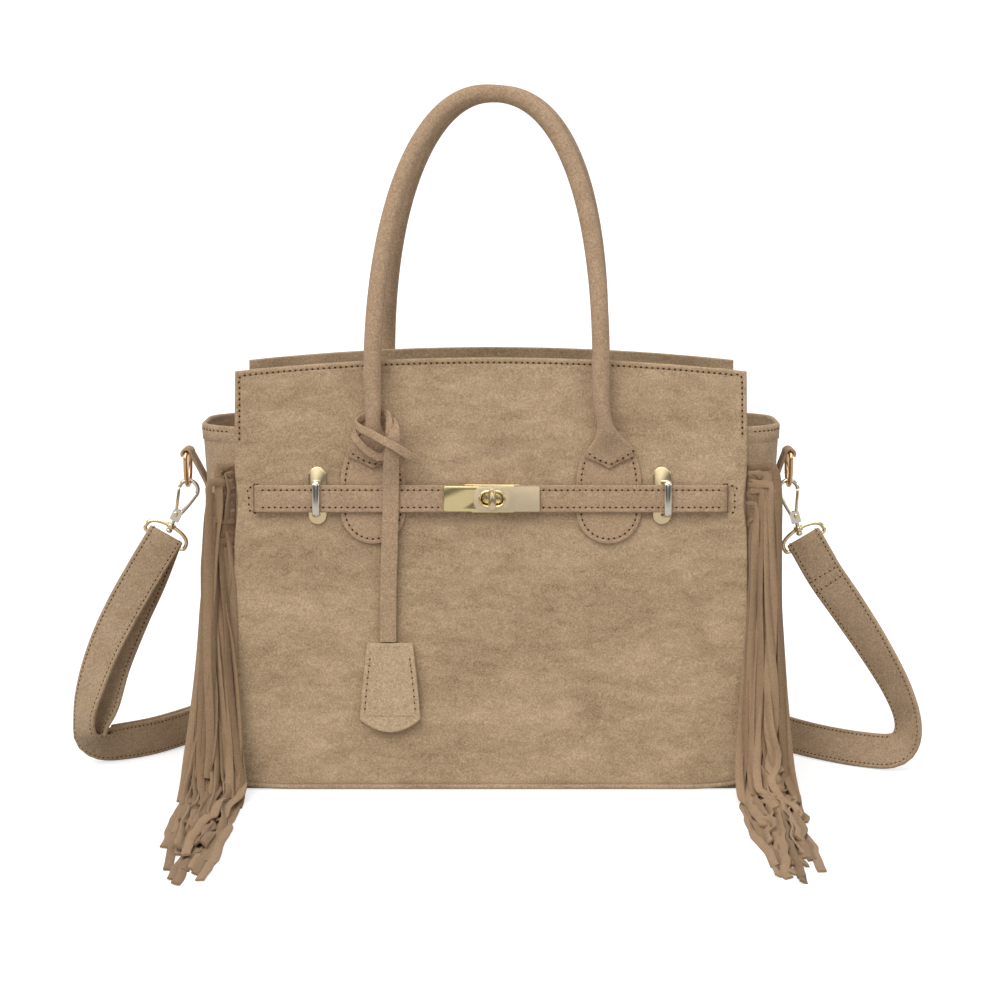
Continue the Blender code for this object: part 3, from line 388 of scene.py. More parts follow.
def make_finishes(settings):
    """Every material of the bag, in the shared dictionary."""
    suede, plating, weave = suede_group(), plating_group(), weave_group()
    nap = settings.suede

    def suede_material(name, colour, cloud=1.0, amount=0.44, brush=2.2, grain=1.0,
                       specks=0.40, relief=1.0, sheen=0.12, shade=1.0):
        """A suede finish: its colour, and how its nap differs from the panels'."""
        values = {
            "Colour": (*colour, 1), "Cloud Size": nap.cloud * cloud, "Cloud Amount": amount,
            "Brush": brush, "Grain Size": nap.grain * grain, "Grain Amount": specks,
            "Nap Height": nap.nap * relief, "Shade": shade,
        }
        looks = {"Sheen Weight": sheen, "Sheen Roughness": 0.45, "Specular IOR Level": 0.12}
        return grouped_material(name, suede, values, looks)

    suede_material("panel_suede", nap.body)
    suede_material("trim_suede", nap.trim, 0.5, 0.22, 1.4)
    suede_material("handle_suede", nap.trim, 0.4, 0.22, 1.0)
    suede_material("strap_suede", nap.strap, 0.5, 0.22, 1.2)
    suede_material("tag_suede", srgb(190, 164, 134), 0.5, 0.18, 1.4)
    suede_material("gusset_suede", srgb(172, 146, 118), 0.8, 0.26, 1.2)
    # root band: the strands' suede made darker, painted shade of the crowded seam where the strands
    # gather
    suede_material("fringe_root", srgb(132, 106, 81), 0.3, 0.30, 1.0, 0.9, 0.3)
    suede_material("thread", srgb(176, 146, 112), 0.1, 0.06, 1.0, 0.35, 0.25, 0.4, 0.2)
    # needle holes: dark brown, painted shade of the holes' recesses
    suede_material("needle_hole_shade", srgb(74, 52, 36), 0.1, 0.05, 1.0, 0.5, 0.1, 0.2, 0.0)
    nodes, group = suede_material("fringe_suede", nap.fringe, 0.35, 0.13, 1.0, 0.9, 0.2)
    tint = nodes.add("ShaderNodeAttribute", {"attribute_name": "shade"})
    nodes.put(group.inputs["Shade"], tint.outputs["Fac"])

    def plated(name, colour, haze, polish):
        """A plated metal finish."""
        grouped_material(name, plating, {"Colour": (*colour, 1), "Haze": haze, "Polish": polish},
                         {"Metallic": 1.0, "Specular IOR Level": 0.5})

    plated("bright_gold", srgb(242, 220, 164), 0.05, 0.09)
    plated("satin_gold", srgb(214, 196, 164), 0.08, 0.48)
    plated("pale_gold", settings.metal.gold, 0.06, 0.10)
    plated("bright_plate", settings.metal.bright, 0.06, 0.08)
    plated("rosy_gold", srgb(226, 186, 140), 0.06, 0.12)

    grouped_material("lining_cloth", weave, {"Colour": (*srgb(118, 92, 70), 1)},
                     {"Sheen Weight": 0.1, "Specular IOR Level": 0.2})
    grouped_material("board", weave,
                     {"Colour": (*srgb(84, 74, 64), 1), "Thread": 0.0016, "Relief": 0.0001},
                     {"Specular IOR Level": 0.3})


# ---- mesh helpers ----
def add_object(name, mesh, body, slot, *nodes, material=None):
    """Link a mesh as a piece that rides on a body and stands for CAD nodes."""
    obj = bpy.data.objects.new(name, mesh)
    bpy.context.scene.collection.objects.link(obj)
    if material:
        obj.data.materials.append(materials[material])
    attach(obj, body)
    if nodes:
        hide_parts(*nodes)
    return obj


def finished(bm, angle=50, smooth=True):
    """Mesh of a bmesh, faces outwards, smooth but for its sharp edges."""
    bmesh.ops.recalc_face_normals(bm, faces=bm.faces)
    mesh = bpy.data.meshes.new("piece")
    bm.to_mesh(mesh)
    bm.free()
    if smooth:
        mesh.shade_smooth()
        mesh.set_sharp_from_angle(angle=math.radians(angle))
    return mesh


def add_skin(bm, loops, ring=False):
    """Closed surface through equal closed loops, capped unless it is a ring."""
    rows = [[bm.verts.new(point) for point in loop] for loop in loops]
    count = len(rows[0])
    pairs = list(zip(rows[:-1], rows[1:]))
    if ring:
        pairs.append((rows[-1], rows[0]))
    for low, high in pairs:
        for i in range(count):
            j = (i + 1) % count
            bm.faces.new((low[i], low[j], high[j], high[i]))
    if not ring:
        bm.faces.new(list(reversed(rows[0])))
        bm.faces.new(rows[-1])


def skin(loops, ring=False, angle=50):
    """Mesh of one closed surface through loops."""
    bm = bmesh.new()
    add_skin(bm, loops, ring)
    return finished(bm, angle)


def ellipse(rx, ry, count, cx=0.0, cy=0.0):
    """Points of an ellipse."""
    angles = [2 * math.pi * i / count for i in range(count)]
    return [(cx + rx * math.cos(a), cy + ry * math.sin(a)) for a in angles]


def stadium(half_width, half_height, count=12):
    """Upright slot shape."""
    straight = half_height - half_width
    points = []
    for sign in (1, -1):
        for i in range(count + 1):
            a = math.pi * i / count + (0 if sign > 0 else math.pi)
            points.append((half_width * math.cos(a), sign * straight + half_width * math.sin(a)))
    return points


def rounded_box(x0, y0, x1, y1, radius, count=4):
    """Rectangle with round corners."""
    corners = ((x1 - radius, y1 - radius, 0), (x0 + radius, y1 - radius, 90),
               (x0 + radius, y0 + radius, 180), (x1 - radius, y0 + radius, 270))
    points = []
    for cx, cy, start in corners:
        for i in range(count + 1):
            a = math.radians(start + 90 * i / count)
            points.append((cx + radius * math.cos(a), cy + radius * math.sin(a)))
    return points


def strip_section(width, wall, groove=None, depth=0.00022):
    """Section of a soft strip: round edges, and a shallow groove under each stitch row."""
    w, h = width / 2, wall / 2
    r = min(h * 0.85, w * 0.5)
    top = []
    for i in range(4):
        a = math.radians(90 * i / 3)
        top.append((w - r + r * math.cos(a), h - r + r * math.sin(a)))
    if groove:
        x = w - groove
        top += [(x + 0.0008, h), (x, h - depth), (x - 0.0008, h)]
    full = top + [(-x, y) for x, y in reversed(top)]
    return full + [(-x, -y) for x, y in full]


def smooth_path(points, step):
    """Stations along a smooth curve through given ones; extra values ride along."""
    rows = [[float(v) for v in point] for point in points]
    ends = [rows[0]] + rows + [rows[-1]]
    path = []
    for a, b, c, d in zip(ends, ends[1:], ends[2:], ends[3:]):
        count = max(1, round(math.dist(b[:3], c[:3]) / step))
        for k in range(count):
            t = k / count
            path.append([
                0.5 * (2 * q + (r - p) * t + (2 * p - 5 * q + 4 * r - s) * t * t
                       + (3 * q - p - 3 * r + s) * t ** 3)
                for p, q, r, s in zip(a, b, c, d)
            ])
    path.append(rows[-1])
    return path


def stations(points, across, ring=False):
    """Point, width way and thickness way at each station of a path."""
    path = [Vector(p) for p in points]
    last = len(path) - 1
    found = []
    for i, point in enumerate(path):
        before = path[i - 1] if i or ring else path[0]
        after = path[(i + 1) % len(path)] if i < last or ring else path[last]
        tangent = (after - before).normalized()
        side = Vector(across[i] if isinstance(across[0], (list, tuple, Vector)) else across)
        side = (side - tangent * side.dot(tangent)).normalized()
        found.append((point, side, tangent.cross(side)))
    return found


def sweep_loops(points, across, profiles, ring=False):
    """Loops of a section carried along a path."""
    loops = []
    for i, (point, side, depth) in enumerate(stations(points, across, ring)):
        section = profiles[i] if isinstance(profiles[0], list) else profiles
        loops.append([point + side * x + depth * y for x, y in section])
    return loops


def sweep(points, across, profiles, ring=False, angle=50):
    """Mesh of a section carried along a path."""
    return skin(sweep_loops(points, across, profiles, ring), ring, angle)


def grid_shell(front, back, angle=60):
    """Closed shell from two equal grids of points, joined round the rim."""
    rows, cols = len(front), len(front[0])
    bm = bmesh.new()
    verts = [bm.verts.new(p) for grid in (front, back) for row in grid for p in row]
    half = rows * cols
    for r in range(rows - 1):
        for c in range(cols - 1):
            a = r * cols + c
            bm.faces.new([verts[k] for k in (a, a + 1, a + cols + 1, a + cols)])
            bm.faces.new([verts[half + k] for k in (a, a + cols, a + cols + 1, a + 1)])
    rim = list(range(cols)) + [r * cols + cols - 1 for r in range(1, rows)]
    rim += [(rows - 1) * cols + c for c in range(cols - 2, -1, -1)]
    rim += [r * cols for r in range(rows - 2, 0, -1)]
    for a, b in zip(rim, rim[1:] + rim[:1]):
        bm.faces.new([verts[k] for k in (a, half + a, half + b, b)])
    return finished(bm, angle)


def inset_outline(outline, distance):
    """Anticlockwise outline moved inwards: each side shifts by the distance, corners stay sharp."""
    count = len(outline)
    moved = []
    for i, point in enumerate(outline):
        here = Vector(point)
        before = (here - Vector(outline[i - 1])).normalized()
        after = (Vector(outline[(i + 1) % count]) - here).normalized()
        inward = Vector((-before.y - after.y, before.x + after.x))
        moved.append(tuple(here + inward * distance / (1 + before.dot(after))))
    return moved


def soft_plate(outline, low, wall, place, groove=SEAM_INSET, rim=0.0007):
    """Stitched leather patch: round rim and a groove under the stitches. place maps x, y, z."""
    high = low + wall
    rings = [(rim * 0.6, low), (0.0, low + rim * 0.6), (0.0, high - rim),
             (rim * 0.3, high - rim * 0.3), (rim, high)]
    if groove:
        rings += [(groove - 0.0009, high), (groove, high - 0.0003),
                  (groove + 0.0009, high), (groove + 0.0014, high), (groove + 0.0020, high)]
    loops = []
    for distance, z in rings:
        loops.append([place(x, y, z) for x, y in inset_outline(outline, distance)])
    return skin(loops, angle=40)


def dressed_copy(node, bevel, angle=35, segments=2):
    """Merged copy of a CAD node's mesh with its sharp edges rounded."""
    bm = bmesh.new()
    bm.from_mesh(frame["nodes"][node].data)
    bmesh.ops.remove_doubles(bm, verts=bm.verts, dist=1e-6)
    bmesh.ops.dissolve_limit(bm, angle_limit=math.radians(1), verts=bm.verts, edges=bm.edges)
    sharp = [e for e in bm.edges if e.is_manifold and e.calc_face_angle(0) > math.radians(angle)]
    bmesh.ops.bevel(bm, geom=sharp, offset=bevel, segments=segments, profile=0.5,
                    affect="EDGES", clamp_overlap=True)
    bmesh.ops.remove_doubles(bm, verts=bm.verts, dist=1e-6)
    return finished(bm, 38)


def face_height(z):
    """Distance of the front face from the middle plane at a height."""
    return FOOT - z * math.tan(LEAN)


def on_face(side, x, up, out):
    """Point on a panel: across, up it and out of it; side -1 is the front."""
    return Vector((-side * x, side * (FOOT - up * math.sin(LEAN) + out * math.cos(LEAN)),
                   up * math.cos(LEAN) + out * math.sin(LEAN)))


def face_out(side):
    """Direction out of a panel's face."""
    return Vector((0, side * math.cos(LEAN), math.sin(LEAN)))


def swell(x, centre, width):
    """Smooth bump of height 1."""
    return math.exp(-((x - centre) / width) ** 2)


# ---- stitches ----
def stitching_tree():
    """Geometry Nodes that lay thread and needle holes along every run of edges; each hole is a dark
    flattened ball, painted shade of its recess.
    """
    tree = bpy.data.node_groups.new("stitch_rows", "GeometryNodeTree")
    face = tree.interface
    face.new_socket("Geometry", in_out="OUTPUT", socket_type="NodeSocketGeometry")
    face.new_socket("Geometry", in_out="INPUT", socket_type="NodeSocketGeometry")
    for label in ("Pitch", "Stitch Length", "Thread Width", "Hole Size"):
        face.new_socket(label, in_out="INPUT", socket_type=FLOAT)
    for label in ("Thread Material", "Hole Material"):
        face.new_socket(label, in_out="INPUT", socket_type="NodeSocketMaterial")
    nodes = Nodes(tree)
    given = nodes.add("NodeGroupInput").outputs
    curve = nodes.add("GeometryNodeMeshToCurve", None, Mesh=given["Geometry"])
    rows = nodes.add("GeometryNodeResampleCurve", {"mode": "LENGTH"},
                     Curve=curve.outputs[0], Length=given["Pitch"]).outputs[0]
    tangent = nodes.add("GeometryNodeInputTangent").outputs[0]
    up = nodes.add("GeometryNodeInputNamedAttribute", {"data_type": "FLOAT_VECTOR"},
                   Name="up").outputs["Attribute"]
    turn = nodes.add("FunctionNodeAxesToRotation",
                     {"primary_axis": "Z", "secondary_axis": "X"},
                     Primary_Axis=up, Secondary_Axis=tangent).outputs[0]
    half = nodes.math("MULTIPLY", given["Pitch"], 0.5)
    step = nodes.vector("SCALE", tangent, (0, 0, 0))
    nodes.put(step.node.inputs["Scale"], half)
    between = nodes.add("GeometryNodeSetPosition", None, Geometry=rows, Offset=step).outputs[0]
    made = []
    thread_size = (given["Stitch Length"], given["Thread Width"], given["Thread Width"])
    hole_flat = nodes.math("MULTIPLY", given["Hole Size"], 0.45)
    hole_long = nodes.math("MULTIPLY", given["Hole Size"], 1.3)
    hole_size = (hole_long, given["Hole Size"], hole_flat)
    # needle holes are dark flattened balls on the surface: painted shade, not real holes
    for points, size, material in ((rows, thread_size, "Thread Material"),
                                   (between, hole_size, "Hole Material")):
        ball = nodes.add("GeometryNodeMeshUVSphere", None, Segments=6, Rings=4,
                         Radius=0.5).outputs[0]
        scale = nodes.add("ShaderNodeCombineXYZ", None, X=size[0], Y=size[1], Z=size[2])
        shaped = nodes.add("GeometryNodeTransform", None, Geometry=ball,
                           Scale=scale.outputs[0]).outputs[0]
        placed = nodes.add("GeometryNodeInstanceOnPoints", None, Points=points,
                           Instance=shaped, Rotation=turn).outputs[0]
        solid = nodes.add("GeometryNodeRealizeInstances", None, Geometry=placed).outputs[0]
        round_off = nodes.add("GeometryNodeSetShadeSmooth", None, Geometry=solid).outputs[0]
        made.append(nodes.add("GeometryNodeSetMaterial", None, Geometry=round_off,
                              Material=given[material]).outputs[0])
    join = nodes.add("GeometryNodeJoinGeometry")
    for socket in reversed(made):
        tree.links.new(socket, join.inputs[0])
    nodes.add("NodeGroupOutput", None, Geometry=join.outputs[0])
    return tree


def strand_tree():
    """Geometry Nodes that carry a flat strip along every run of edges."""
    tree = bpy.data.node_groups.new("flat_strands", "GeometryNodeTree")
    face = tree.interface
    face.new_socket("Geometry", in_out="OUTPUT", socket_type="NodeSocketGeometry")
    face.new_socket("Geometry", in_out="INPUT", socket_type="NodeSocketGeometry")
    for label in ("Strand Width", "Strand Thickness"):
        face.new_socket(label, in_out="INPUT", socket_type=FLOAT)
    face.new_socket("Material", in_out="INPUT", socket_type="NodeSocketMaterial")
    nodes = Nodes(tree)
    given = nodes.add("NodeGroupInput").outputs
    curve = nodes.add("GeometryNodeMeshToCurve", None, Mesh=given["Geometry"]).outputs[0]
    across = nodes.add("GeometryNodeInputNamedAttribute", {"data_type": "FLOAT_VECTOR"},
                       Name="across").outputs["Attribute"]
    turned = nodes.add("GeometryNodeSetCurveNormal", {"mode": "FREE"}, Curve=curve,
                       Normal=across).outputs[0]
    strip = nodes.add("GeometryNodeCurvePrimitiveQuadrilateral", None,
                      Width=given["Strand Width"], Height=given["Strand Thickness"]).outputs[0]
    corner = nodes.math("MULTIPLY", given["Strand Thickness"], 0.3)
    eased = nodes.add("GeometryNodeFilletCurve", {"mode": "POLY"}, Curve=strip, Count=1,
                      Radius=corner).outputs[0]
    solid = nodes.add("GeometryNodeCurveToMesh", None, Curve=turned, Profile_Curve=eased,
                      Fill_Caps=True).outputs[0]
    real = nodes.add("GeometryNodeRealizeInstances", None, Geometry=solid).outputs[0]
    dressed = nodes.add("GeometryNodeSetMaterial", None, Geometry=real,
                        Material=given["Material"]).outputs[0]
    nodes.add("NodeGroupOutput", None, Geometry=dressed)
    return tree


def edge_runs(name, runs, attribute, values=None):
    """Object of loose edges, one chain for each run, with a vector (and a shade) at each point."""
    mesh = bpy.data.meshes.new(name)
    points, ways, edges, shades = [], [], [], []
    for number, run in enumerate(runs):
        start = len(points)
        for point, way in run:
            points.append(point)
            ways.append(way)
            shades.append(values[number] if values else 1.0)
        edges += [(i, i + 1) for i in range(start, len(points) - 1)]
    mesh.from_pydata(points, edges, [])
    layer = mesh.attributes.new(attribute, "FLOAT_VECTOR", "POINT")
    layer.data.foreach_set("vector", [v for way in ways for v in way])
    layer = mesh.attributes.new("shade", "FLOAT", "POINT")
    layer.data.foreach_set("value", shades)
    obj = bpy.data.objects.new(name, mesh)
    bpy.context.scene.collection.objects.link(obj)
    return obj


def through_nodes(obj, tree, inputs):
    """Run an object through a Geometry Nodes tree and return the plain mesh."""
    modifier = obj.modifiers.new(tree.name, "NODES")
    modifier.node_group = tree
    for item in tree.interface.items_tree:
        if item.in_out == "INPUT" and item.name in inputs:
            modifier[item.identifier] = inputs[item.name]
    bpy.context.view_layer.update()
    graph = bpy.context.evaluated_depsgraph_get()
    mesh = bpy.data.meshes.new_from_object(obj.evaluated_get(graph), preserve_all_data_layers=True,
                                           depsgraph=graph)
    bpy.data.objects.remove(obj)
    return mesh


def stitch(name, runs, settings, body="root", pitch=None, size=1.0):
    """Stitched rows as one piece. A run is a list of (point, direction out of the suede)."""
    tree = bpy.data.node_groups.get("stitch_rows") or stitching_tree()
    rows = settings.stitch
    pitch = pitch or rows.pitch
    mesh = through_nodes(edge_runs(name + "_runs", runs, "up"), tree, {
        "Pitch": pitch, "Stitch Length": rows.length * pitch / rows.pitch,
        "Thread Width": rows.thread * size, "Hole Size": rows.hole * size,
        "Thread Material": materials["thread"], "Hole Material": materials["needle_hole_shade"]})
    mesh.name = name
    return add_object(name, mesh, body, "suede")


def face_run(side, points, out):
    """A stitch run on a panel's face through (x, up) points."""
    way = face_out(side)
    return [(on_face(side, x, up, out), way) for x, up in points]


# ---- body ----
def grid_lines(span, step, extra=()):
    """Distances across a panel: close together at both edges, even between them."""
    near = [0, 0.0002, 0.0006, 0.0011, 0.0018, 0.0025, 0.0029, 0.0033, 0.0037, 0.0042, 0.0056]
    count = round((span - 2 * near[-1]) / step)
    middle = [near[-1] + (span - 2 * near[-1]) * i / count for i in range(1, count)]
    return sorted(set(near + middle + [span - d for d in near] + list(extra)))


def panel_half(z):
    """Half width of a panel at a height: straight sides that nip in beside the belt."""
    half = HALF_BASE + (HALF_TOP - HALF_BASE) * z / RISE
    return half - 0.0022 * swell(z, 0.190, 0.015)


def panel_bottom(x):
    """Bottom edge of a panel: it curls up a little at the corners."""
    reach = max(0.0, (abs(x) - 0.128) / (HALF_BASE - 0.128))
    curl = 0.0048 if x > 0 else 0.0030
    return 0.0004 + curl * min(reach, 1.0) ** 2.2


def panel_grids(side):
    """Outer and inner grid of a panel."""
    slits, belt_lines = (), ()
    if side < 0:
        slits = [HALF_BASE + s * SLIT_X + d for s in (-1, 1)
                 for d in (-0.0017, -0.0014, 0.0014, 0.0017)]
        belt_lines = [BELT_UP + d for d in (-0.0093, -0.0090, 0.0090, 0.0093)]
    us = [2 * d / (2 * HALF_BASE) - 1 for d in grid_lines(2 * HALF_BASE, 0.0045, slits)]
    tall = RISE / math.cos(LEAN)
    vs = [d / tall for d in grid_lines(tall, 0.0045, belt_lines)]
    rim = 0.0014
    outer, inner = [], []
    for v in vs:
        outer_row, inner_row = [], []
        for u in us:
            half = panel_half(v * RISE)
            x = u * half
            if side < 0 and abs(abs(u * HALF_BASE) - SLIT_X) < 0.003:
                x = u * HALF_BASE
            top = (RISE - TOP_ARCH * u * u) / math.cos(LEAN)
            low = panel_bottom(x)
            squeeze = (top - low) / tall
            blend = swell(v, BELT_UP / tall, 0.1)
            up = (low + v * tall * squeeze) * (1 - blend) + v * tall * blend
            up = min(max(up, low), top)
            edge_x = (1 - abs(u)) * half
            edge_top, edge_low = (1 - v) * tall, v * tall
            edge = min(edge_x, edge_top, edge_low)
            out = 0.0
            if edge < rim:
                out -= rim - math.sqrt(max(rim ** 2 - (rim - edge) ** 2, 0))
            seam = max(swell(edge_top, SEAM_INSET, 0.0007),
                       swell(edge_low, SEAM_INSET, 0.0006) * 1.6)
            if v * RISE > 0.232:
                seam = max(seam, swell(edge_x, SEAM_INSET, 0.0007))
            out -= 0.00032 * seam
            calm = min(1.0, edge / 0.02)
            spot = Vector((x * 14, up * 11, side * 3.7))
            out -= 0.0008 * calm * (0.5 + 0.5 * noise.noise(spot))
            ripple = noise.noise(Vector((x * 60, up * 45, side * 1.3)))
            out -= 0.00016 * calm * (1 + ripple)
            if side < 0 and abs(abs(x) - SLIT_X) < 0.0015 and abs(up - BELT_UP) < 0.0091:
                out -= 0.0022
            outer_row.append(on_face(side, x, up, out))
            back = -PANEL_WALL
            if edge < 0.0008:
                back += 0.0008 - math.sqrt(max(0.0008 ** 2 - (0.0008 - edge) ** 2, 0))
            inner_row.append(on_face(side, x, up, back))
        outer.append(outer_row)
        inner.append(inner_row)
    return outer, inner


def panel_runs(side, out):
    """Top stitch row of a panel, down both sides to the gusset's rim."""
    low = 0.2335
    points = []
    inset = SEAM_INSET
    for i in range(7):
        z = low + (RISE - TOP_ARCH - inset - low) * i / 6
        points.append((panel_half(z) - inset, z / math.cos(LEAN)))
    top = []
    for i in range(31):
        t = 1 - 2 * i / 30
        x = t * (panel_half(RISE) - inset)
        top.append((x, (RISE - TOP_ARCH * (x / HALF_TOP) ** 2) / math.cos(LEAN) - inset))
    left = [(-x, up) for x, up in reversed(points)]
    return face_run(side, points + top[1:-1] + left, out)


def make_panels(settings):
    """Front and back panels and their stitching."""
    runs = []
    for name, side in (("front_panel", -1), ("back_panel", 1)):
        mesh = grid_shell(*panel_grids(side))
        add_object(name + "_suede", mesh, "root", "suede", name, material="panel_suede")
        runs.append(panel_runs(side, -0.0001))
    half = BELT_WIDTH / 2 - 0.0006
    for sign, reach in ((-1, 0.0048), (1, 0.0060)):
        near, far = SLIT_X + 0.0024, SLIT_X + reach
        box = [(near, half), (far, half), (far, -half), (near, -half)]
        runs.append(face_run(-1, [(sign * x, BELT_UP + y) for x, y in box], -0.0003))
    stitch("panel_stitching", runs, settings)


def gusset_x(z, t):
    """Outer face of a gusset at a height; t runs from -1 at the front seam to 1 at the back."""
    rise = (max(z, 0) / GUSSET_HEIGHT) ** 0.6
    return GUSSET_SEAM + GUSSET_BULGE * rise * (1 - abs(t) ** 4)


def gusset_point(side, z, t, depth):
    """Point in a gusset's wall, depth behind its outer face."""
    half = face_height(z) - PANEL_WALL / math.cos(LEAN) - GAP
    crease = 0.0012 * noise.noise(Vector((side * 5.0, t * 2.2, z * 14))) * (1 - abs(t))
    return Vector((side * (gusset_x(z, t) + min(crease, 0.0006) - depth), t * half, z))


def make_gussets(settings):
    """Bowed side walls with a folded rim."""
    fold = 0.011
    heights = [0.0004, 0.003, 0.008, 0.016, 0.028]
    heights += [0.028 + (GUSSET_HEIGHT - 0.028 - fold) * i / 26 for i in range(1, 27)]
    crown = [(GUSSET_HEIGHT - fold + 0.0003, 0.0), (GUSSET_HEIGHT - fold + 0.0008, 1.0),
             (GUSSET_HEIGHT - 0.0060, 1.0), (GUSSET_HEIGHT - 0.0042, 1.0),
             (GUSSET_HEIGHT - 0.0033, 0.35), (GUSSET_HEIGHT - 0.0024, 1.0),
             (GUSSET_HEIGHT - 0.0012, 0.9), (GUSSET_HEIGHT - 0.0004, 0.3)]
    columns = 44
    ts = [-math.cos(math.pi * i / columns) * 0.35 + (-1 + 2 * i / columns) * 0.65
          for i in range(columns + 1)]
    runs = []
    for name, side in (("left_gusset", -1), ("right_gusset", 1)):
        outer = [[gusset_point(side, z, t, 0.0) for t in ts] for z in heights]
        inner = [[gusset_point(side, z, t, GUSSET_WALL) for t in ts] for z in heights]
        for z, proud in crown:
            lift = 0.00075 * proud
            outer.append([gusset_point(side, z, t, -lift) for t in ts])
            inner.append([gusset_point(side, z, t, GUSSET_WALL + lift * 0.4) for t in ts])
        outer.append([gusset_point(side, GUSSET_HEIGHT + 0.0004, t, 0.0008) for t in ts])
        inner.append([gusset_point(side, GUSSET_HEIGHT + 0.0004, t, GUSSET_WALL - 0.0006)
                      for t in ts])
        mesh = grid_shell(outer, inner)
        add_object(name + "_suede", mesh, "root", "suede", name, material="gusset_suede")
        z = GUSSET_HEIGHT - 0.0033
        rim = []
        for i in range(2, columns - 1):
            point = gusset_point(side, z, ts[i], -0.0004)
            along = gusset_point(side, z, ts[i + 1], 0) - gusset_point(side, z, ts[i - 1], 0)
            rim.append((point, along.cross(Vector((0, 0, 1))).normalized() * side))
        runs.append(rim)
    stitch("gusset_stitching", runs, settings)


def make_base(settings):
    """Bottom panel with the stiff board on it."""
    for name, material, slot, bevel in (("base_panel", "panel_suede", "suede", 0.0008),
                                        ("base_board", "board", "board", 0.0004)):
        mesh = dressed_copy(name, bevel)
        add_object(name + "_dressed", mesh, "root", slot, name, material=material)


def make_lining(settings):
    """Cloth bag inside the body, with soft upright folds and a turned hem."""
    low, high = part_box("lining")
    wall = 0.001
    count = 180

    def loop(z, inset, fold):
        """Outline of the bag at a height, moved in, with folds of a given depth."""
        y = face_height(z) - PANEL_WALL / math.cos(LEAN) - 2 * GAP - inset
        x = high.x - inset
        outline = []
        for i in range(count):
            a = 2 * math.pi * i / count
            c, s = math.cos(a), math.sin(a)
            power = 0.16
            px = x * math.copysign(abs(c) ** power, c)
            py = y * math.copysign(abs(s) ** power, s)
            dent = fold * (0.5 + 0.5 * noise.noise(Vector((px * 30, py * 30, z * 9))))
            outline.append((px * (1 - dent / x), py * (1 - dent / y), z))
        return outline

    floor = low.z + wall
    heights = [low.z + (high.z - low.z) * i / 16 for i in range(17)]
    loops = [loop(z, 0, 0) for z in heights]
    loops += [loop(high.z, wall * 2.2, 0), loop(high.z - 0.006, wall * 2.2, 0)]
    for i in range(15, 0, -1):
        z = floor + (high.z - 0.008 - floor) * i / 15
        loops.append(loop(z, wall, 0.0034 * math.sin(math.pi * min(i, 12) / 15)))
    loops.append(loop(floor, wall, 0))
    add_object("lining_cloth_bag", skin(loops, angle=70), "root", "lining_cloth", "lining",
               material="lining_cloth")


# ---- handles ----
def handle_point(angle, side):
    """Centre line of a handle's arch; angle 0 at the right leg."""
    c, s = math.cos(angle), max(math.sin(angle), 0.0)
    power = 2 / HANDLE_POWER[1 if c > 0 else -1]
    x = HANDLE_SHIFT[side] + HANDLE_SPAN * math.copysign(abs(c) ** power, c)
    z = HANDLE_SPRING + (HANDLE_TOP - HANDLE_SPRING) * s ** power
    top = HANDLE_RADIUS + 0.0004
    start = 0.292
    lean = min(max((z - start) / (HANDLE_TOP - start), 0), 1)
    leg = face_height(min(z, start)) + HANDLE_STANDOFF
    return (x, side * (leg + (top - leg) * lean ** 1.15), z)


# up the panel, out of its face, half width, half thickness
FLARE = (
    (0.2140, 0.0034, 0.0012, 0.0009),
    (0.2172, 0.0036, 0.0075, 0.0011),
    (0.2212, 0.0039, 0.0165, 0.0013),
    (0.2262, 0.0046, 0.0158, 0.0019),
    (0.2312, 0.0060, 0.0110, 0.0032),
    (0.2372, 0.0080, 0.0068, 0.0045),
    (0.2450, 0.0093, 0.0049, 0.0050),
    (0.2560, 0.0095, 0.0056, 0.0056),
)


def handle_section(wide, thick, seam):
    """Round section with a shallow seam on the underside."""
    points = []
    for i in range(24):
        a = 2 * math.pi * i / 24
        pinch = 1 - seam * swell(a, math.pi, 0.16)
        points.append((wide * math.cos(a) * pinch, thick * math.sin(a) * pinch))
    return points


def make_handles(settings):
    """Rolled handles: tubes with a closing seam, narrowing and then flaring on to the tabs."""
    for name, side in (("front_handle", -1), ("back_handle", 1)):
        legs = []
        for hand in (1, -1):
            leg = []
            for up, out, wide, thick in FLARE:
                shift = HANDLE_SHIFT[side] * min(1, max(0, (up - 0.23) / 0.03))
                reach = TAB_X + (HANDLE_SPAN - TAB_X) * min(1, max(0, (up - 0.225) / 0.03))
                point = on_face(side, 0, up, out)
                leg.append((shift + hand * reach, point.y, point.z, wide, thick, hand, 0, 0))
            legs.append(leg)
        arch = []
        for i in range(49):
            a = math.pi * i / 48
            arch.append((*handle_point(a, side), HANDLE_RADIUS, HANDLE_RADIUS,
                         math.cos(a), 0, math.sin(a)))
        path = smooth_path(legs[0] + arch + legs[1][::-1], 0.0035)
        sections = [handle_section(row[3], row[4], 0.10 if row[2] > 0.26 else 0.0)
                    for row in path]
        points = [row[:3] for row in path]
        mesh = sweep(points, [Vector(row[5:]) for row in path], sections)
        add_object(name + "_roll", mesh, "root", "suede", name, material="handle_suede")


def tab_outline():
    """Rounded patch under a handle's end, anticlockwise."""
    half, foot = 0.0215, 0.1637
    points = []
    for i in range(33):
        a = math.pi + math.pi * i / 32
        points.append((half * math.cos(a), foot + half + half * math.sin(a)))
    shoulder = ((0.0215, 0.1960), (0.0214, 0.2060), (0.0205, 0.2130), (0.0187, 0.2195),
                (0.0166, 0.2262), (0.0120, 0.2330), (0.0072, 0.2375))
    points += [(x, y) for x, y in shoulder]
    points += [(-x, y) for x, y in reversed(shoulder)]
    return points


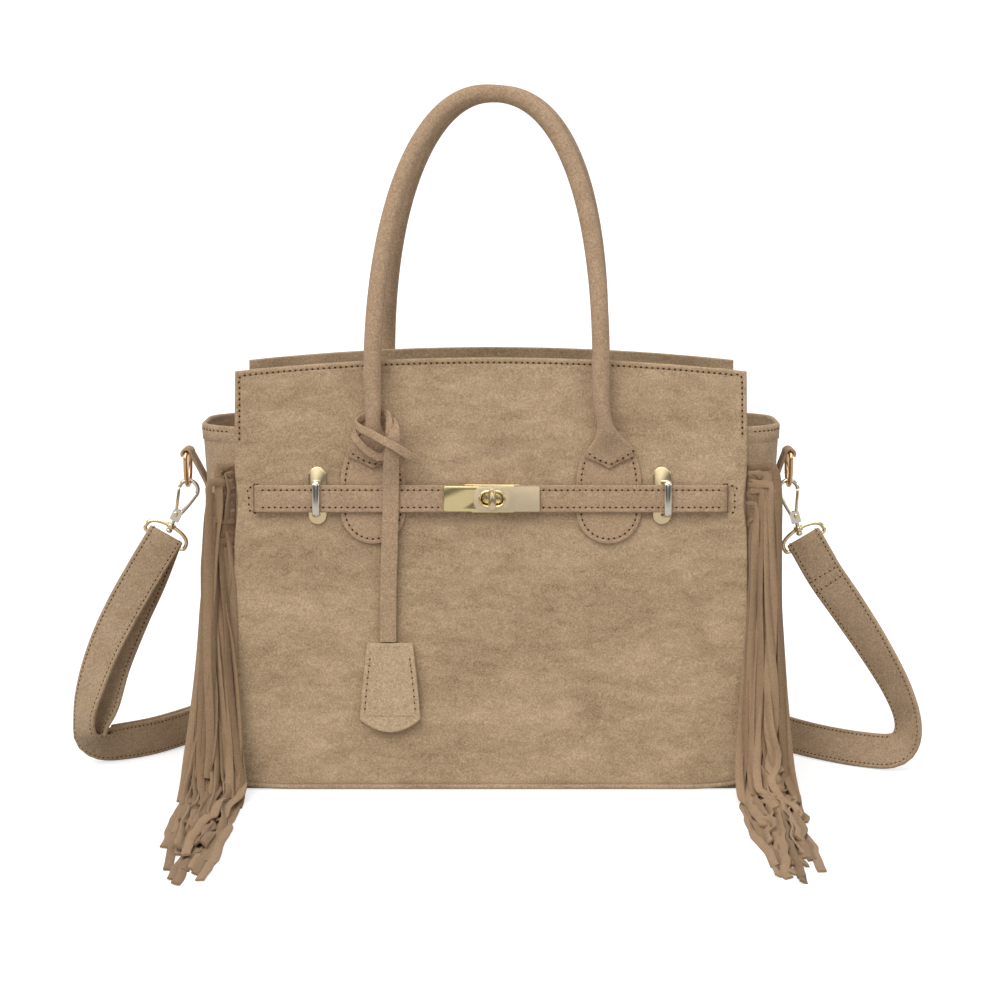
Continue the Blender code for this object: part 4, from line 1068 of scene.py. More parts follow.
def make_tabs(settings):
    """The four patches that the handles end on, with their stitching."""
    outline = tab_outline()
    row = [p for p in inset_outline(outline, SEAM_INSET) if p[1] < 0.2200]
    shape = tab_stitch_line(row)
    runs = []
    for side, word, hands in ((-1, "front", (-1, 1)), (1, "back", (1, -1))):
        for hand, name in zip(hands, ("left", "right")):
            def place(x, y, z, side=side, hand=hand):
                """Point of this patch on its panel."""
                return on_face(side, x + hand * TAB_X, y, z)

            mesh = soft_plate(outline, GAP, TAB_WALL, place)
            node = f"{word}_{name}_tab"
            add_object(node + "_patch", mesh, "root", "suede", node, material="trim_suede")
            runs.append(face_run(side, [(x + hand * TAB_X, y) for x, y in shape],
                                 GAP + TAB_WALL - 0.0001))
            vee = ((-0.0142, 0.2238), (-0.0080, 0.2196), (0.0, 0.2164), (0.0080, 0.2196),
                   (0.0142, 0.2238))
            runs.append(face_run(side, [(x + hand * TAB_X, y) for x, y in vee],
                                 0.0036 + 0.0014))
    stitch("tab_stitching", runs, settings)


def tab_stitch_line(row):
    """The inset row put in order, from one shoulder round the foot to the other."""
    start = max(range(len(row)), key=lambda i: (row[i][0] < 0, row[i][1]))
    turned = row[start:] + row[:start]
    if turned[1][1] > turned[0][1]:
        turned = [turned[0]] + turned[1:][::-1]
    return turned


# ---- belt and lock ----
def make_belts(settings):
    """The belt's two halves with a stitch row along each edge."""
    middle = BELT_BACK + BELT_WALL / 2
    runs = []
    for name, sign, end, stop in (("left_belt", -1, -0.0125, -0.0325),
                                  ("right_belt", 1, 0.0150, 0.0325)):
        route = [(sign * SLIT_X, -0.0020), (sign * SLIT_X, 0.0002)]
        for i in range(1, 9):
            a = math.radians(90 * i / 8)
            bend = middle - 0.0006
            route.append((sign * (SLIT_X - bend * (1 - math.cos(a))), 0.0006 + bend * math.sin(a)))
        first = route[-1][0]
        for i in range(1, 41):
            x = first + (end - first) * i / 40
            route.append((x, middle + 0.00018 * noise.noise(Vector((x * 40, sign, 0)))))
        points = [on_face(-1, x, BELT_UP, out) for x, out in route]
        along = on_face(-1, 0, 1, 0) - on_face(-1, 0, 0, 0)
        mesh = sweep(points, along, strip_section(BELT_WIDTH, BELT_WALL, SEAM_INSET))
        add_object(name + "_strip", mesh, "root", "suede", name, material="trim_suede")
        for edge in (-1, 1):
            up = BELT_UP + edge * (BELT_WIDTH / 2 - SEAM_INSET)
            xs = [sign * 0.1515 + (stop - sign * 0.1515) * i / 12 for i in range(13)]
            runs.append(face_run(-1, [(x, up) for x in xs], BELT_TOP - 0.0001))
    stitch("belt_stitching", runs, settings, pitch=0.0039)


def make_lock(settings):
    """Turn lock: base plate, two slotted plates with a raised eyelet, and the toggle."""
    bevel = settings.metal.bevel
    for node, body, material, size in (
            ("lock_base_plate", "root", "bright_gold", 0.0002),
            ("left_lock_plate", "root", "bright_gold", bevel),
            ("right_lock_plate", "root", "satin_gold", bevel),
            ("lock_toggle", "toggle", "pale_gold", 0.0006)):
        mesh = dressed_copy(node, size, segments=3)
        add_object(node + "_plated", mesh, body, "pale_gold", node, material=material)
    wire = 0.0008
    slot = stadium(LOCK_SLOT[0] / 2 + wire, LOCK_SLOT[1] / 2 + wire, 16)
    rim = [on_face(-1, LOCK_X + y, BELT_UP + x, EYELET_TOP + 0.0001) for x, y in slot]
    mesh = sweep(rim, face_out(-1), ellipse(0.0005, wire, 10), ring=True)
    add_object("lock_eyelet_rim", mesh, "root", "pale_gold", material="bright_gold")


def make_staples(settings):
    """Oval plates with their loops over the belt."""
    for word, x, lean in zip(("left", "right"), STAPLE_X, STAPLE_LEAN):
        node = f"{word}_staple_plate"
        mesh = dressed_copy(node, 0.0004, segments=3)
        add_object(node + "_plated", mesh, "root", "pale_gold", node, material="pale_gold")
        foot = lean * 0.4
        route = [(foot, -STAPLE_REACH, 0.0015 + GAP), (foot, -STAPLE_REACH, 0.0034)]
        for i in range(9):
            a = math.radians(90 * i / 8)
            route.append((lean, -STAPLE_REACH + STAPLE_BEND * (1 - math.cos(a)),
                          STAPLE_TOP - STAPLE_BEND * (1 - math.sin(a))))
        route += [(px, -py, pz) for px, py, pz in reversed(route)]
        points = [on_face(-1, x + px, BELT_UP + py, pz) for px, py, pz in route]
        mesh = sweep(points, (1, 0, 0), ellipse(0.0025, 0.0013, 20))
        node = f"{word}_staple_loop"
        add_object(node + "_plated", mesh, "root", "pale_gold", node, material="bright_plate")


# ---- side rings and clasps ----
def make_side_tabs(settings):
    """Suede strips on the gussets, rolled over the bars of the D-rings."""
    runs = []
    for word, side in (("left", -1), ("right", 1)):
        bar, bar_z = abs(ring_bar(word).x), ring_bar(word).z
        wall, width = 0.0020, 0.018
        bend = RING_WIRE + GAP + wall / 2 + 0.0002
        route = [(gusset_x(z, 0) + GAP + 0.0002 + wall / 2, z) for z in (0.174, 0.184, 0.194)]
        foot = route[-1][0]
        route.append(((foot + bar - bend) / 2 - 0.0008, 0.2045))
        for i in range(19):
            a = math.radians(180 - 12 * i)
            route.append((bar + bend * math.cos(a), bar_z + bend * math.sin(a)))
        path = smooth_path([(x, z, 0) for x, z in route], 0.0015)
        points = [(side * x, 0, z) for x, z, _ in path]
        mesh = sweep(points, (0, 1, 0), strip_section(width, wall, 0.003, 0.00015))
        node = f"{word}_ring_tab"
        add_object(node + "_strip", mesh, "root", "suede", node, material="trim_suede")
        line = stations(points, (0, 1, 0))
        for edge in (-1, 1):
            run = []
            for point, wide, deep in line[2:20]:
                out = Vector((side, 0, 0))
                deep = deep if deep.dot(out) > 0 else -deep
                run.append((point + wide * edge * (width / 2 - 0.003) + deep * wall / 2, deep))
            runs.append(run)
    stitch("side_tab_stitching", runs, settings, pitch=0.0032, size=0.85)


def d_outline(half, height, arc_steps, corner=0.003, corner_steps=5):
    """Centre line of a D: a straight bar at y = 0 and an arch that reaches y = -height."""
    points = [(half - corner, 0.0)]
    for i in range(1, corner_steps + 1):
        a = math.radians(90 - 90 * i / corner_steps)
        points.append((half - corner + corner * math.cos(a), -corner + corner * math.sin(a)))
    drop = height - corner
    for i in range(1, arc_steps):
        a = math.pi * i / arc_steps
        points.append((half * math.cos(a), -corner - drop * math.sin(a) ** 0.7))
    for i in range(corner_steps + 1):
        a = math.radians(180 - 90 * i / corner_steps)
        points.append((corner - half + corner * math.cos(a), -corner + corner * math.sin(a)))
    return points


def make_d_rings(settings):
    """D-rings that hang in the side tabs."""
    for word in ("left", "right"):
        centre = ring_bar(word)
        points = [centre + Vector((0, y, z)) for y, z in d_outline(0.0125, RING_DROP, 32)]
        mesh = sweep(points, (1, 0, 0), ellipse(RING_WIRE, RING_WIRE, 16), ring=True)
        node = f"{word}_d_ring"
        add_object(node + "_wire", mesh, "root", "pale_gold", node, material="rosy_gold")


def clasp_frame(word, tilt=None):
    """Matrix at a clasp's collar: X to the bag's middle, Y up the stem, Z to the back."""
    joint = JOINTS[f"{word}_swivel"]
    side = -1 if word == "left" else 1
    angle = math.asin(abs(joint["axis"][0])) if tilt is None else math.radians(tilt)
    up = Vector((-side * math.sin(angle), 0, math.cos(angle)))
    inward = Vector((-side * math.cos(angle), 0, -math.sin(angle)))
    place = Matrix((inward, up, inward.cross(up))).transposed().to_4x4()
    place.translation = joint["pos_m"]
    return place


def add_slab(bm, outline, low, high, place):
    """Flat piece added to a bmesh, its Z from low to high."""
    add_skin(bm, [[place @ Vector((x, y, z)) for x, y in outline] for z in (low, high)])


def make_clasps(settings):
    """Snap hooks: bent wire, forked block, turned stem, gate and rivet."""
    for word in ("left", "right"):
        place = clasp_frame(word)
        route = []
        for i in range(31):
            a = math.radians(190 - 205 * i / 30)
            route.append((HOOK_ARCH * math.cos(a), HOOK_STEM + HOOK_ARCH * math.sin(a), 0))
        route += [(0.0044, 0.0180, 0), (0.0026, 0.0120, 0), (0.0016, 0.0085, 0)]
        path = [place @ Vector(p[:3]) for p in smooth_path(route, 0.0008)]
        bm = bmesh.new()
        depth = place.to_3x3() @ Vector((0, 0, 1))
        add_skin(bm, sweep_loops(path, depth, ellipse(HOOK_WIRE, HOOK_WIRE, 16)))
        web = rounded_box(0.0018, 0.0044, 0.0033, 0.0124, 0.0006)
        foot = rounded_box(-0.0031, 0.0044, 0.0033, 0.0070, 0.0010)
        cheek = rounded_box(-0.0031, 0.0046, 0.0033, 0.0124, 0.0016)
        add_slab(bm, web, -0.0020, 0.0020, place)
        add_slab(bm, foot, -0.0020, 0.0020, place)
        add_slab(bm, cheek, 0.0014, 0.0025, place)
        add_slab(bm, cheek, -0.0025, -0.0014, place)
        sharp = [e for e in bm.edges if e.calc_face_angle(0) > math.radians(60)]
        bmesh.ops.bevel(bm, geom=sharp, offset=0.00025, segments=2, profile=0.5,
                        affect="EDGES", clamp_overlap=True)
        stem = ((0.0060, 0.0013), (-0.0020, 0.0013), (-0.0022, 0.0018), (-0.0025, 0.0021),
                (-0.0030, 0.0023), (-0.0037, 0.0022), (-0.0043, 0.0018), (-0.0048, 0.0010))
        add_skin(bm, [[place @ Vector((x, y, z)) for x, z in ellipse(r, r, 20)]
                      for y, r in stem])
        node = f"{word}_hook"
        add_object(node + "_plated", finished(bm, 45), f"{word}_clasp", "pale_gold", node,
                   material="bright_plate")

        pivot, tip = Vector((-0.0006, 0.0092, 0)), Vector((-0.0062, 0.0262, 0))
        along = (tip - pivot).normalized()
        bm = bmesh.new()
        bar = []
        reach = (tip - pivot).length
        for d, r in ((0.0012, 0.0010), (0.004, 0.0011), (reach - 0.001, 0.0010),
                     (reach - 0.0003, 0.0008), (reach, 0.0004)):
            side = along.cross(Vector((0, 0, 1)))
            bar.append([place @ (pivot + along * d + side * x + Vector((0, 0, y)))
                        for x, y in ellipse(r, r, 14)])
        add_skin(bm, bar)
        knuckle = ellipse(0.0020, 0.0020, 24, pivot.x, pivot.y)
        add_slab(bm, knuckle, -0.0011, 0.0011, place)
        node = f"{word}_gate"
        add_object(node + "_plated", finished(bm, 45), f"{word}_latch", "pale_gold", node,
                   material="pale_gold")

        rivet = []
        for h, r in ((-0.0035, 0.0008), (-0.0034, 0.0012), (-0.0031, 0.0016),
                     (-0.0028, 0.0016), (-0.0028, 0.0008), (0.0028, 0.0008),
                     (0.0028, 0.0016), (0.0031, 0.0016), (0.0034, 0.0012), (0.0035, 0.0008)):
            rivet.append([place @ Vector((x, y, h))
                          for x, y in ellipse(r, r, 20, pivot.x, pivot.y)])
        node = f"{word}_gate_rivet"
        add_object(node + "_plated", skin(rivet, angle=45), f"{word}_clasp", "pale_gold", node,
                   material="bright_gold")


def make_strap_rings(settings):
    """D-shaped rings that the strap runs through, with the swivel's collar."""
    for word, tilt in zip(("left", "right"), STRAP_RING_TILT):
        ring_place = clasp_frame(word, tilt)
        collar_place = clasp_frame(word)
        outline = d_outline(STRAP_RING_HALF, STRAP_RING_HEIGHT, 32, 0.0022)
        points = [ring_place @ Vector((x, -y - STRAP_RING_HEIGHT, 0)) for x, y in outline]
        way = ring_place.to_3x3() @ Vector((0, 0, 1))
        bm = bmesh.new()
        add_skin(bm, sweep_loops(points, way, ellipse(0.0013, 0.0013, 16), True), True)
        collar = ((-0.0014, 0.0018), (-0.0014, 0.0029), (-0.0012, 0.0031), (0.0014, 0.0031),
                  (0.0016, 0.0029), (0.0016, 0.0018))
        add_skin(bm, [[collar_place @ Vector((x, y, z)) for x, z in ellipse(r, r, 24)]
                      for y, r in collar], True)
        node = f"{word}_strap_ring"
        add_object(node + "_plated", finished(bm, 45), "root", "pale_gold", node,
                   material="pale_gold")


# ---- shoulder strap ----
def strap_route():
    """Listed stations of the strap: x, y, z and the way its width points."""
    ring_tilt = [math.radians(t) for t in STRAP_RING_TILT]
    turn = 0.0013 + GAP + STRAP_WALL / 2 + 0.0001
    x, _, z = JOINTS["left_swivel"]["pos_m"]
    bar_x = x - STRAP_RING_HEIGHT * math.sin(ring_tilt[0])
    bar_z = z - STRAP_RING_HEIGHT * math.cos(ring_tilt[0])
    bar_way = (math.cos(ring_tilt[0]), 0, -math.sin(ring_tilt[0]))
    down = Vector((-math.sin(ring_tilt[0]), 0, -math.cos(ring_tilt[0])))
    # sewn end at the slider, along the floor, then up to the left ring's bar
    route = [
        (-0.2100, 0.0680, 0.0142, 0.0, 0.0, 1.0),
        (-0.2232, 0.0463, 0.0138, 0.0, 0.05, 1.0),
        (-0.2388, 0.0260, 0.0134, 0.0, 0.05, 1.0),
        (-0.2566, 0.0112, 0.0134, 0.0, -0.05, 1.0),
        (-0.2680, 0.0024, 0.0150, 0.15, -0.25, 0.95),
        (-0.2722, -0.0028, 0.0212, 0.40, -0.50, 0.70),
        (-0.2708, -0.0038, 0.0292, 0.60, -0.58, 0.35),
        (-0.2652, -0.0030, 0.0430, 0.75, -0.55, 0.05),
        (-0.2590, 0.0010, 0.0700, 0.83, -0.40, -0.15),
        (-0.2480, 0.0050, 0.1000, 0.88, -0.20, -0.30),
        (-0.2350, 0.0070, 0.1290, 0.88, -0.05, -0.42),
    ]
    for degrees in (-15, 25, 65, 90, 115, 155, 195):
        a = math.radians(degrees)
        point = Vector((bar_x, turn * math.cos(a), bar_z)) - down * turn * math.sin(a)
        route.append((*point, *bar_way))
    # outer run: down from the ring to the floor, round the back and up to the right ring
    route += [
        (-0.2345, -0.0052, 0.1390, 0.88, -0.08, -0.44),
        (-0.2490, -0.0085, 0.1140, 0.87, -0.15, -0.40),
        (-0.2622, -0.0110, 0.0880, 0.84, -0.35, -0.30),
        (-0.2725, -0.0130, 0.0610, 0.77, -0.52, -0.15),
        (-0.2785, -0.0130, 0.0380, 0.62, -0.68, 0.05),
        (-0.2775, -0.0090, 0.0210, 0.45, -0.60, 0.50),
        (-0.2680, -0.0020, 0.0142, 0.15, -0.30, 0.95),
        (-0.2540, 0.0080, 0.0130, 0.0, -0.05, 1.0),
        (-0.2360, 0.0230, 0.0130, 0.0, 0.0, 1.0),
        (-0.2190, 0.0430, 0.0140, 0.0, 0.0, 1.0),
        (-0.2050, 0.0620, 0.0156, 0.0, 0.0, 1.0),
        (-0.1880, 0.0800, 0.0145, 0.0, 0.10, 1.0),
        (-0.1600, 0.0940, 0.0126, 0.0, 0.30, 0.95),
        (-0.1000, 0.0990, 0.0120, 0.0, 0.40, 0.92),
        (-0.0300, 0.1000, 0.0120, 0.0, 0.40, 0.92),
        (0.0400, 0.1000, 0.0120, 0.0, 0.40, 0.92),
        (0.1000, 0.0990, 0.0120, 0.0, 0.40, 0.92),
        (0.1580, 0.0920, 0.0120, 0.05, 0.40, 0.92),
        (0.1880, 0.0690, 0.0116, 0.15, 0.45, 0.88),
        (0.2060, 0.0420, 0.0114, 0.28, 0.48, 0.83),
        (0.2280, 0.0160, 0.0112, 0.28, 0.50, 0.82),
        (0.2540, -0.0050, 0.0112, 0.15, 0.52, 0.84),
        (0.2740, -0.0160, 0.0128, -0.10, 0.60, 0.78),
        (0.2830, -0.0185, 0.0205, -0.40, 0.74, 0.50),
        (0.2842, -0.0180, 0.0350, -0.58, 0.78, 0.16),
        (0.2768, -0.0155, 0.0560, -0.68, 0.68, -0.14),
        (0.2615, -0.0120, 0.0830, -0.77, 0.50, -0.32),
        (0.2430, -0.0085, 0.1110, -0.82, 0.24, -0.45),
        (0.2270, -0.0060, 0.1340, -0.85, 0.0, -0.51),
    ]
    x, _, z = JOINTS["right_swivel"]["pos_m"]
    bar_x = x + STRAP_RING_HEIGHT * math.sin(ring_tilt[1])
    bar_z = z - STRAP_RING_HEIGHT * math.cos(ring_tilt[1])
    bar_way = (-math.cos(ring_tilt[1]), 0, -math.sin(ring_tilt[1]))
    down = Vector((math.sin(ring_tilt[1]), 0, -math.cos(ring_tilt[1])))
    for degrees in (-165, -205, -245, -270, -295, -335, -360):
        a = math.radians(degrees)
        point = Vector((bar_x, turn * math.cos(a), bar_z)) - down * turn * math.sin(a)
        route.append((*point, *bar_way))
    for along in (0.006, 0.020):
        point = Vector((bar_x, turn - 0.0003, bar_z)) + down * along
        route.append((*point, *bar_way))
    return route


def route_length(points):
    """Length of a path."""
    return sum(math.dist(a, b) for a, b in zip(points, points[1:]))


def make_strap(settings):
    """Shoulder strap, doubled through the left ring and sewn round the right one."""
    path = smooth_path(strap_route(), 0.0040)[::-1]
    points = [row[:3] for row in path]
    ways = [Vector(row[3:]) for row in path]
    mesh = sweep(points, ways, strip_section(STRAP_WIDTH, STRAP_WALL, STRAP_STITCH_INSET, 0.00018))
    strap = add_object("shoulder_strap_band", mesh, "root", "suede", "shoulder_strap",
                       material="strap_suede")
    line = stations(points, ways)
    runs = []
    for edge in (-1, 1):
        for face in (-1, 1):
            offset = edge * (STRAP_WIDTH / 2 - STRAP_STITCH_INSET)
            runs.append([(p + wide * offset + deep * face * (STRAP_WALL / 2 - 0.0001),
                          deep * face) for p, wide, deep in line[1:-1]])
    reach = STRAP_WIDTH / 2 - 0.003
    outer = [row for row in line if row[0].x > 0.21 and row[0].z > 0.10 and row[0].y < 0]
    for target in (0.1335, 0.1285):
        point, wide, deep = min(outer, key=lambda row: abs(row[0].z - target))
        face = -1 if deep.y > 0 else 1
        runs.append([(point + wide * reach * t + deep * face * (STRAP_WALL / 2), deep * face)
                     for t in (-1, -0.5, 0, 0.5, 1)])
    stitch("strap_stitching", runs, settings, pitch=0.0032, size=0.8)
    mesh = dressed_copy("strap_slider", 0.0001)
    slider = add_object("strap_slider_plated", mesh, "root", "pale_gold", "strap_slider",
                        material="pale_gold")
    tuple(points[0])
    round(route_length(points), 3)


# ---- hanging tag ----
def lace_route():
    """Listed stations of the lace: across, up the panel and out of its face, half width, and the
    way its width points."""
    return [
        # pointed tail, over the hanging part and across the handle's front
        (-0.0446, 0.2176, 0.0125, 0.0018, 0.50, 0.86, 0.0),
        (-0.0520, 0.2218, 0.0168, 0.0028, 0.50, 0.86, 0.0),
        (-0.0597, 0.2267, 0.0194, 0.0028, 0.50, 0.86, 0.0),
        (-0.0680, 0.2312, 0.0194, 0.0027, 0.50, 0.86, 0.0),
        (-0.0770, 0.2362, 0.0180, 0.0026, 0.40, 0.92, 0.0),
        (-0.0850, 0.2400, 0.0145, 0.0025, 0.15, 0.98, 0.0),
        # first turn, behind the handle to its right side
        (-0.0880, 0.2430, 0.0095, 0.0024, 0.0, 1.0, 0.0),
        (-0.0850, 0.2462, 0.0050, 0.0024, 0.0, 1.0, 0.0),
        (-0.0770, 0.2490, 0.0026, 0.0024, 0.0, 1.0, 0.0),
        (-0.0700, 0.2500, 0.0050, 0.0024, 0.1, 1.0, 0.0),
        (-0.0668, 0.2480, 0.0105, 0.0024, 0.4, 0.9, 0.3),
        (-0.0660, 0.2420, 0.0140, 0.0025, 0.9, 0.3, 0.3),
        (-0.0662, 0.2330, 0.0140, 0.0026, 1.0, 0.1, 0.0),
        (-0.0672, 0.2250, 0.0118, 0.0026, 0.9, -0.4, 0.0),
        # back across the flare, behind the hanging part, to the left side
        (-0.0720, 0.2208, 0.0098, 0.0026, 0.2, -1.0, 0.0),
        (-0.0790, 0.2240, 0.0102, 0.0026, -0.45, -0.9, 0.0),
        (-0.0855, 0.2300, 0.0108, 0.0025, -0.6, -0.8, 0.0),
        (-0.0895, 0.2360, 0.0085, 0.0024, -0.5, -0.85, 0.0),
        # second turn, lower behind the handle, out at the right side
        (-0.0870, 0.2405, 0.0042, 0.0023, -0.2, -1.0, 0.0),
        (-0.0770, 0.2432, 0.0021, 0.0023, 0.0, -1.0, 0.0),
        (-0.0680, 0.2440, 0.0045, 0.0023, 0.0, -1.0, 0.0),
        (-0.0636, 0.2440, 0.0110, 0.0026, -0.4, -0.9, -0.3),
        (-0.0624, 0.2390, 0.0158, 0.0034, -0.9, -0.3, -0.3),
        # hanging part, over the belt and down the panel to the tag
        (-0.0632, 0.2320, 0.0165, 0.0044, -1.0, -0.1, 0.0),
        (-0.0645, 0.2210, 0.0146, 0.0051, -1.0, 0.0, 0.0),
        (-0.0652, 0.2090, 0.0105, 0.0054, -1.0, 0.0, 0.0),
        (-0.0655, 0.1950, 0.0068, 0.0054, -1.0, 0.0, 0.0),
        (-0.0662, 0.1700, 0.0056, 0.0054, -1.0, 0.0, 0.0),
        (-0.0672, 0.1400, 0.0042, 0.0054, -1.0, 0.0, 0.0),
        (-0.0676, 0.1150, 0.0034, 0.0054, -1.0, 0.0, 0.0),
        (-0.0676, 0.0990, 0.0032, 0.0054, -1.0, 0.0, 0.0),
    ]


def tag_outline():
    """Bell shape of the tag, anticlockwise."""
    low = 0.0390 / math.cos(LEAN)
    top = low + 0.0590
    points = []
    for i in range(25):
        t = -1 + 2 * i / 24
        points.append((0.0200 * t, low + 0.0085 * t * t))
    right = ((0.0196, low + 0.014), (0.0188, low + 0.025), (0.0176, low + 0.036),
             (0.0164, low + 0.047), (0.0150, top))
    return points + list(right) + [(-x, y) for x, y in reversed(right)]


def make_lace_and_tag(settings):
    """Lace tied round the left handle's foot, with its two-ply tag."""
    path = smooth_path(lace_route(), 0.0022)
    origin = on_face(-1, 0, 0, 0)
    points = [on_face(-1, *row[:3]) for row in path]
    ways = [on_face(-1, *row[4:]) - origin for row in path]
    sections = [strip_section(2 * row[3], LACE_WALL) for row in path]
    mesh = sweep(points, ways, sections)
    lace = add_object("tag_lace_strip", mesh, "root", "suede", "tag_lace",
                      material="trim_suede")

    def place(x, y, z):
        """Point of the tag on the front panel."""
        return on_face(-1, x + TAG_X, y, z)

    outline = tag_outline()
    for node, low, groove in (("tag_back", 0.0006, None), ("tag_front", 0.0029, 0.0030)):
        mesh = soft_plate(outline, low, 0.0020, place, groove)
        add_object(node + "_ply", mesh, "root", "suede", node,
                                material="tag_suede")
    row = inset_outline(outline, 0.0030)
    runs = []
    for keep in (lambda p: p[0] > 0.001 and 0.052 < p[1] < 0.0945,
                 lambda p: p[0] < -0.001 and 0.052 < p[1] < 0.0945):
        side = sorted([p for p in row if keep(p)], key=lambda p: p[1])
        runs.append(face_run(-1, [(x + TAG_X, y) for x, y in side], 0.0048))
    stitch("tag_stitching", runs, settings, size=0.8)
    round(route_length(points), 3)


# ---- fringes ----
def push_out(points, side, radius):
    """Move strand nodes out of the floor, the panel's edge and the gusset."""
    x, y, z = points[..., 0], points[..., 1], points[..., 2]
    np.maximum(z, radius, out=z)
    front = FOOT - z * math.tan(LEAN)
    t = np.clip(y / (front - 0.0033), -1, 1)
    rise = (np.clip(z, 0, GUSSET_HEIGHT) / GUSSET_HEIGHT) ** 0.6
    wall = GUSSET_SEAM + GUSSET_BULGE * rise * (1 - np.abs(t) ** 4)
    wall = np.where(np.abs(y) > front - 0.0035, HALF_BASE - 0.003 * z / RISE, wall) + radius
    inward = wall - side * x
    forward = y + front + radius
    inside = (inward > 0) & (forward > 0)
    sideways = inside & (inward <= forward)
    ahead = inside & (inward > forward)
    x += np.where(sideways, side * inward, 0)
    y -= np.where(ahead, forward, 0)


def part_strands(points, gap):
    """Push nodes of different strands apart where they are closer than the gap."""
    nodes = points.shape[1]
    flat = points.reshape(-1, 3)
    square = (flat ** 2).sum(1)
    near = square[:, None] + square[None, :] - 2 * flat @ flat.T
    first, second = np.nonzero(np.triu(near < gap * gap, 1))
    keep = (first // nodes != second // nodes) & (first % nodes > 1) & (second % nodes > 1)
    first, second = first[keep], second[keep]
    away = flat[first] - flat[second]
    distance = np.maximum(np.linalg.norm(away, axis=1, keepdims=True), 1e-6)
    push = away / distance * (gap - distance) * 0.5
    moved = np.zeros_like(flat)
    np.add.at(moved, first, push)
    np.add.at(moved, second, -push)
    flat += np.clip(moved, -gap / 2, gap / 2)


def lay_strand(root, leave, reach, seg, nodes, drift, layer, waves):
    """Nodes of one strand: out of the seam, down, and forward along the floor.
    drift is its sideways slope, layer its height on the floor, waves its place in the noise."""
    points = [root, root + leave * reach * 0.5, root + leave * reach]
    while len(points) < nodes:
        here = points[-1]
        low = max(0.0, min(1.0, (here[2] - layer) / LANDING))
        slope = math.radians(90 - 82 * low ** 0.6)
        part = len(points) / nodes
        wave = 0.16 * noise.noise(waves + Vector((0, 0, 3.2 * part)))
        across = drift * math.cos(part * 1.9) + wave
        way = np.array([across, -math.sin(slope), -math.cos(slope)])
        here = here + way / np.linalg.norm(way) * seg
        here[2] = max(here[2], layer)
        points.append(here)
    return np.array(points)


def hang_strands(side, settings):
    """Strands of one side: laid down and forward, then settled at fixed node distances."""
    count, nodes = settings.strands, STRAND_NODES
    rng = np.random.default_rng(settings.seed + (1 if side > 0 else 0))
    heights = np.linspace(FRINGE_LOW, FRINGE_HIGH, count)
    seg = settings.length * rng.uniform(0.90, 1.03, count) / (nodes - 1)
    radius = settings.wall * 0.8
    points = []
    for i, height in enumerate(heights):
        high = height / heights[-1]
        root = np.array([side * SEAM_X, SEAM_BACK - face_height(height), height])
        leave = np.array([side * (0.80 + 0.15 * high), -0.62 + rng.uniform(-0.22, 0.16),
                          0.12 * high + rng.uniform(-0.12, 0.08)])
        leave /= np.linalg.norm(leave)
        reach = seg[i] * rng.uniform(0.45, 1.9) * (0.75 + 0.45 * high)
        drift = side * rng.uniform(-0.06, 0.17) * (0.45 + 0.55 * high)
        layer = radius + rng.uniform(0.0, PILE)
        waves = Vector((i * 1.7, side * 5.0, 0))
        points.append(lay_strand(root, leave, reach, seg[i], nodes, drift, layer, waves))
    points = np.array(points)
    stub = points[:, :3].copy()
    speed = np.zeros_like(points)
    rest = seg[:, None, None]
    for _ in range(SETTLE_STEPS):
        speed[..., 2] -= GRAVITY * TIME_STEP
        fresh = points + speed * TIME_STEP
        fresh[:, :3] = stub
        for _ in range(JOIN_PASSES):
            for odd in (0, 1):
                a, b = fresh[:, odd:-1:2], fresh[:, odd + 1::2]
                a = a[:, :b.shape[1]]
                gap = b - a
                distance = np.linalg.norm(gap, axis=2, keepdims=True)
                fix = gap * (1 - rest / distance) * 0.5
                a += fix
                b -= fix
            fresh[:, :3] = stub
            push_out(fresh[:, 3:], side, radius)
        part_strands(fresh, STRAND_GAP)
        fresh[:, :3] = stub
        push_out(fresh[:, 3:], side, radius)
        speed = (fresh - points) / TIME_STEP * 0.80
        grip = fresh[..., 2] < radius + PILE + 0.001
        speed *= np.where(grip, 0.15, 1.0)[..., None]
        points = fresh
    return points


def strand_runs(points, side, settings):
    """Smooth runs with the way each strand's width points, turning as the strand falls."""
    rng = np.random.default_rng(settings.seed + 20 + (1 if side > 0 else 0))
    runs, shades = [], []
    for strand in points:
        path = [Vector(row) for row in smooth_path(strand.tolist(), 0.0048)]
        twist_end = rng.uniform(-0.85, 0.85) - side * 0.61
        way = Vector((0, 0, 1))
        run = []
        last = len(path) - 1
        for i, point in enumerate(path):
            tangent = (path[min(i + 1, last)] - path[max(i - 1, 0)]).normalized()
            way = (way - tangent * way.dot(tangent)).normalized()
            part = i / last
            angle = twist_end * min(1.0, part / 0.25) + 0.40 * math.sin(part * 8 + twist_end * 4)
            floor = max(0.0, 1 - point.z / 0.006)
            turned = Matrix.Rotation(angle, 3, tangent) @ way
            if floor > 0:
                flat = Vector((0, 0, 1)).cross(tangent)
                if flat.length > 0.2:
                    flat.normalize()
                    flat = flat if flat.dot(turned) > 0 else -flat
                    turned = (turned * (1 - 0.8 * floor) + flat * 0.8 * floor).normalized()
            run.append((point, turned))
        runs.append(run)
        shades.append(float(rng.uniform(0.72, 1.14)))
    return runs, shades


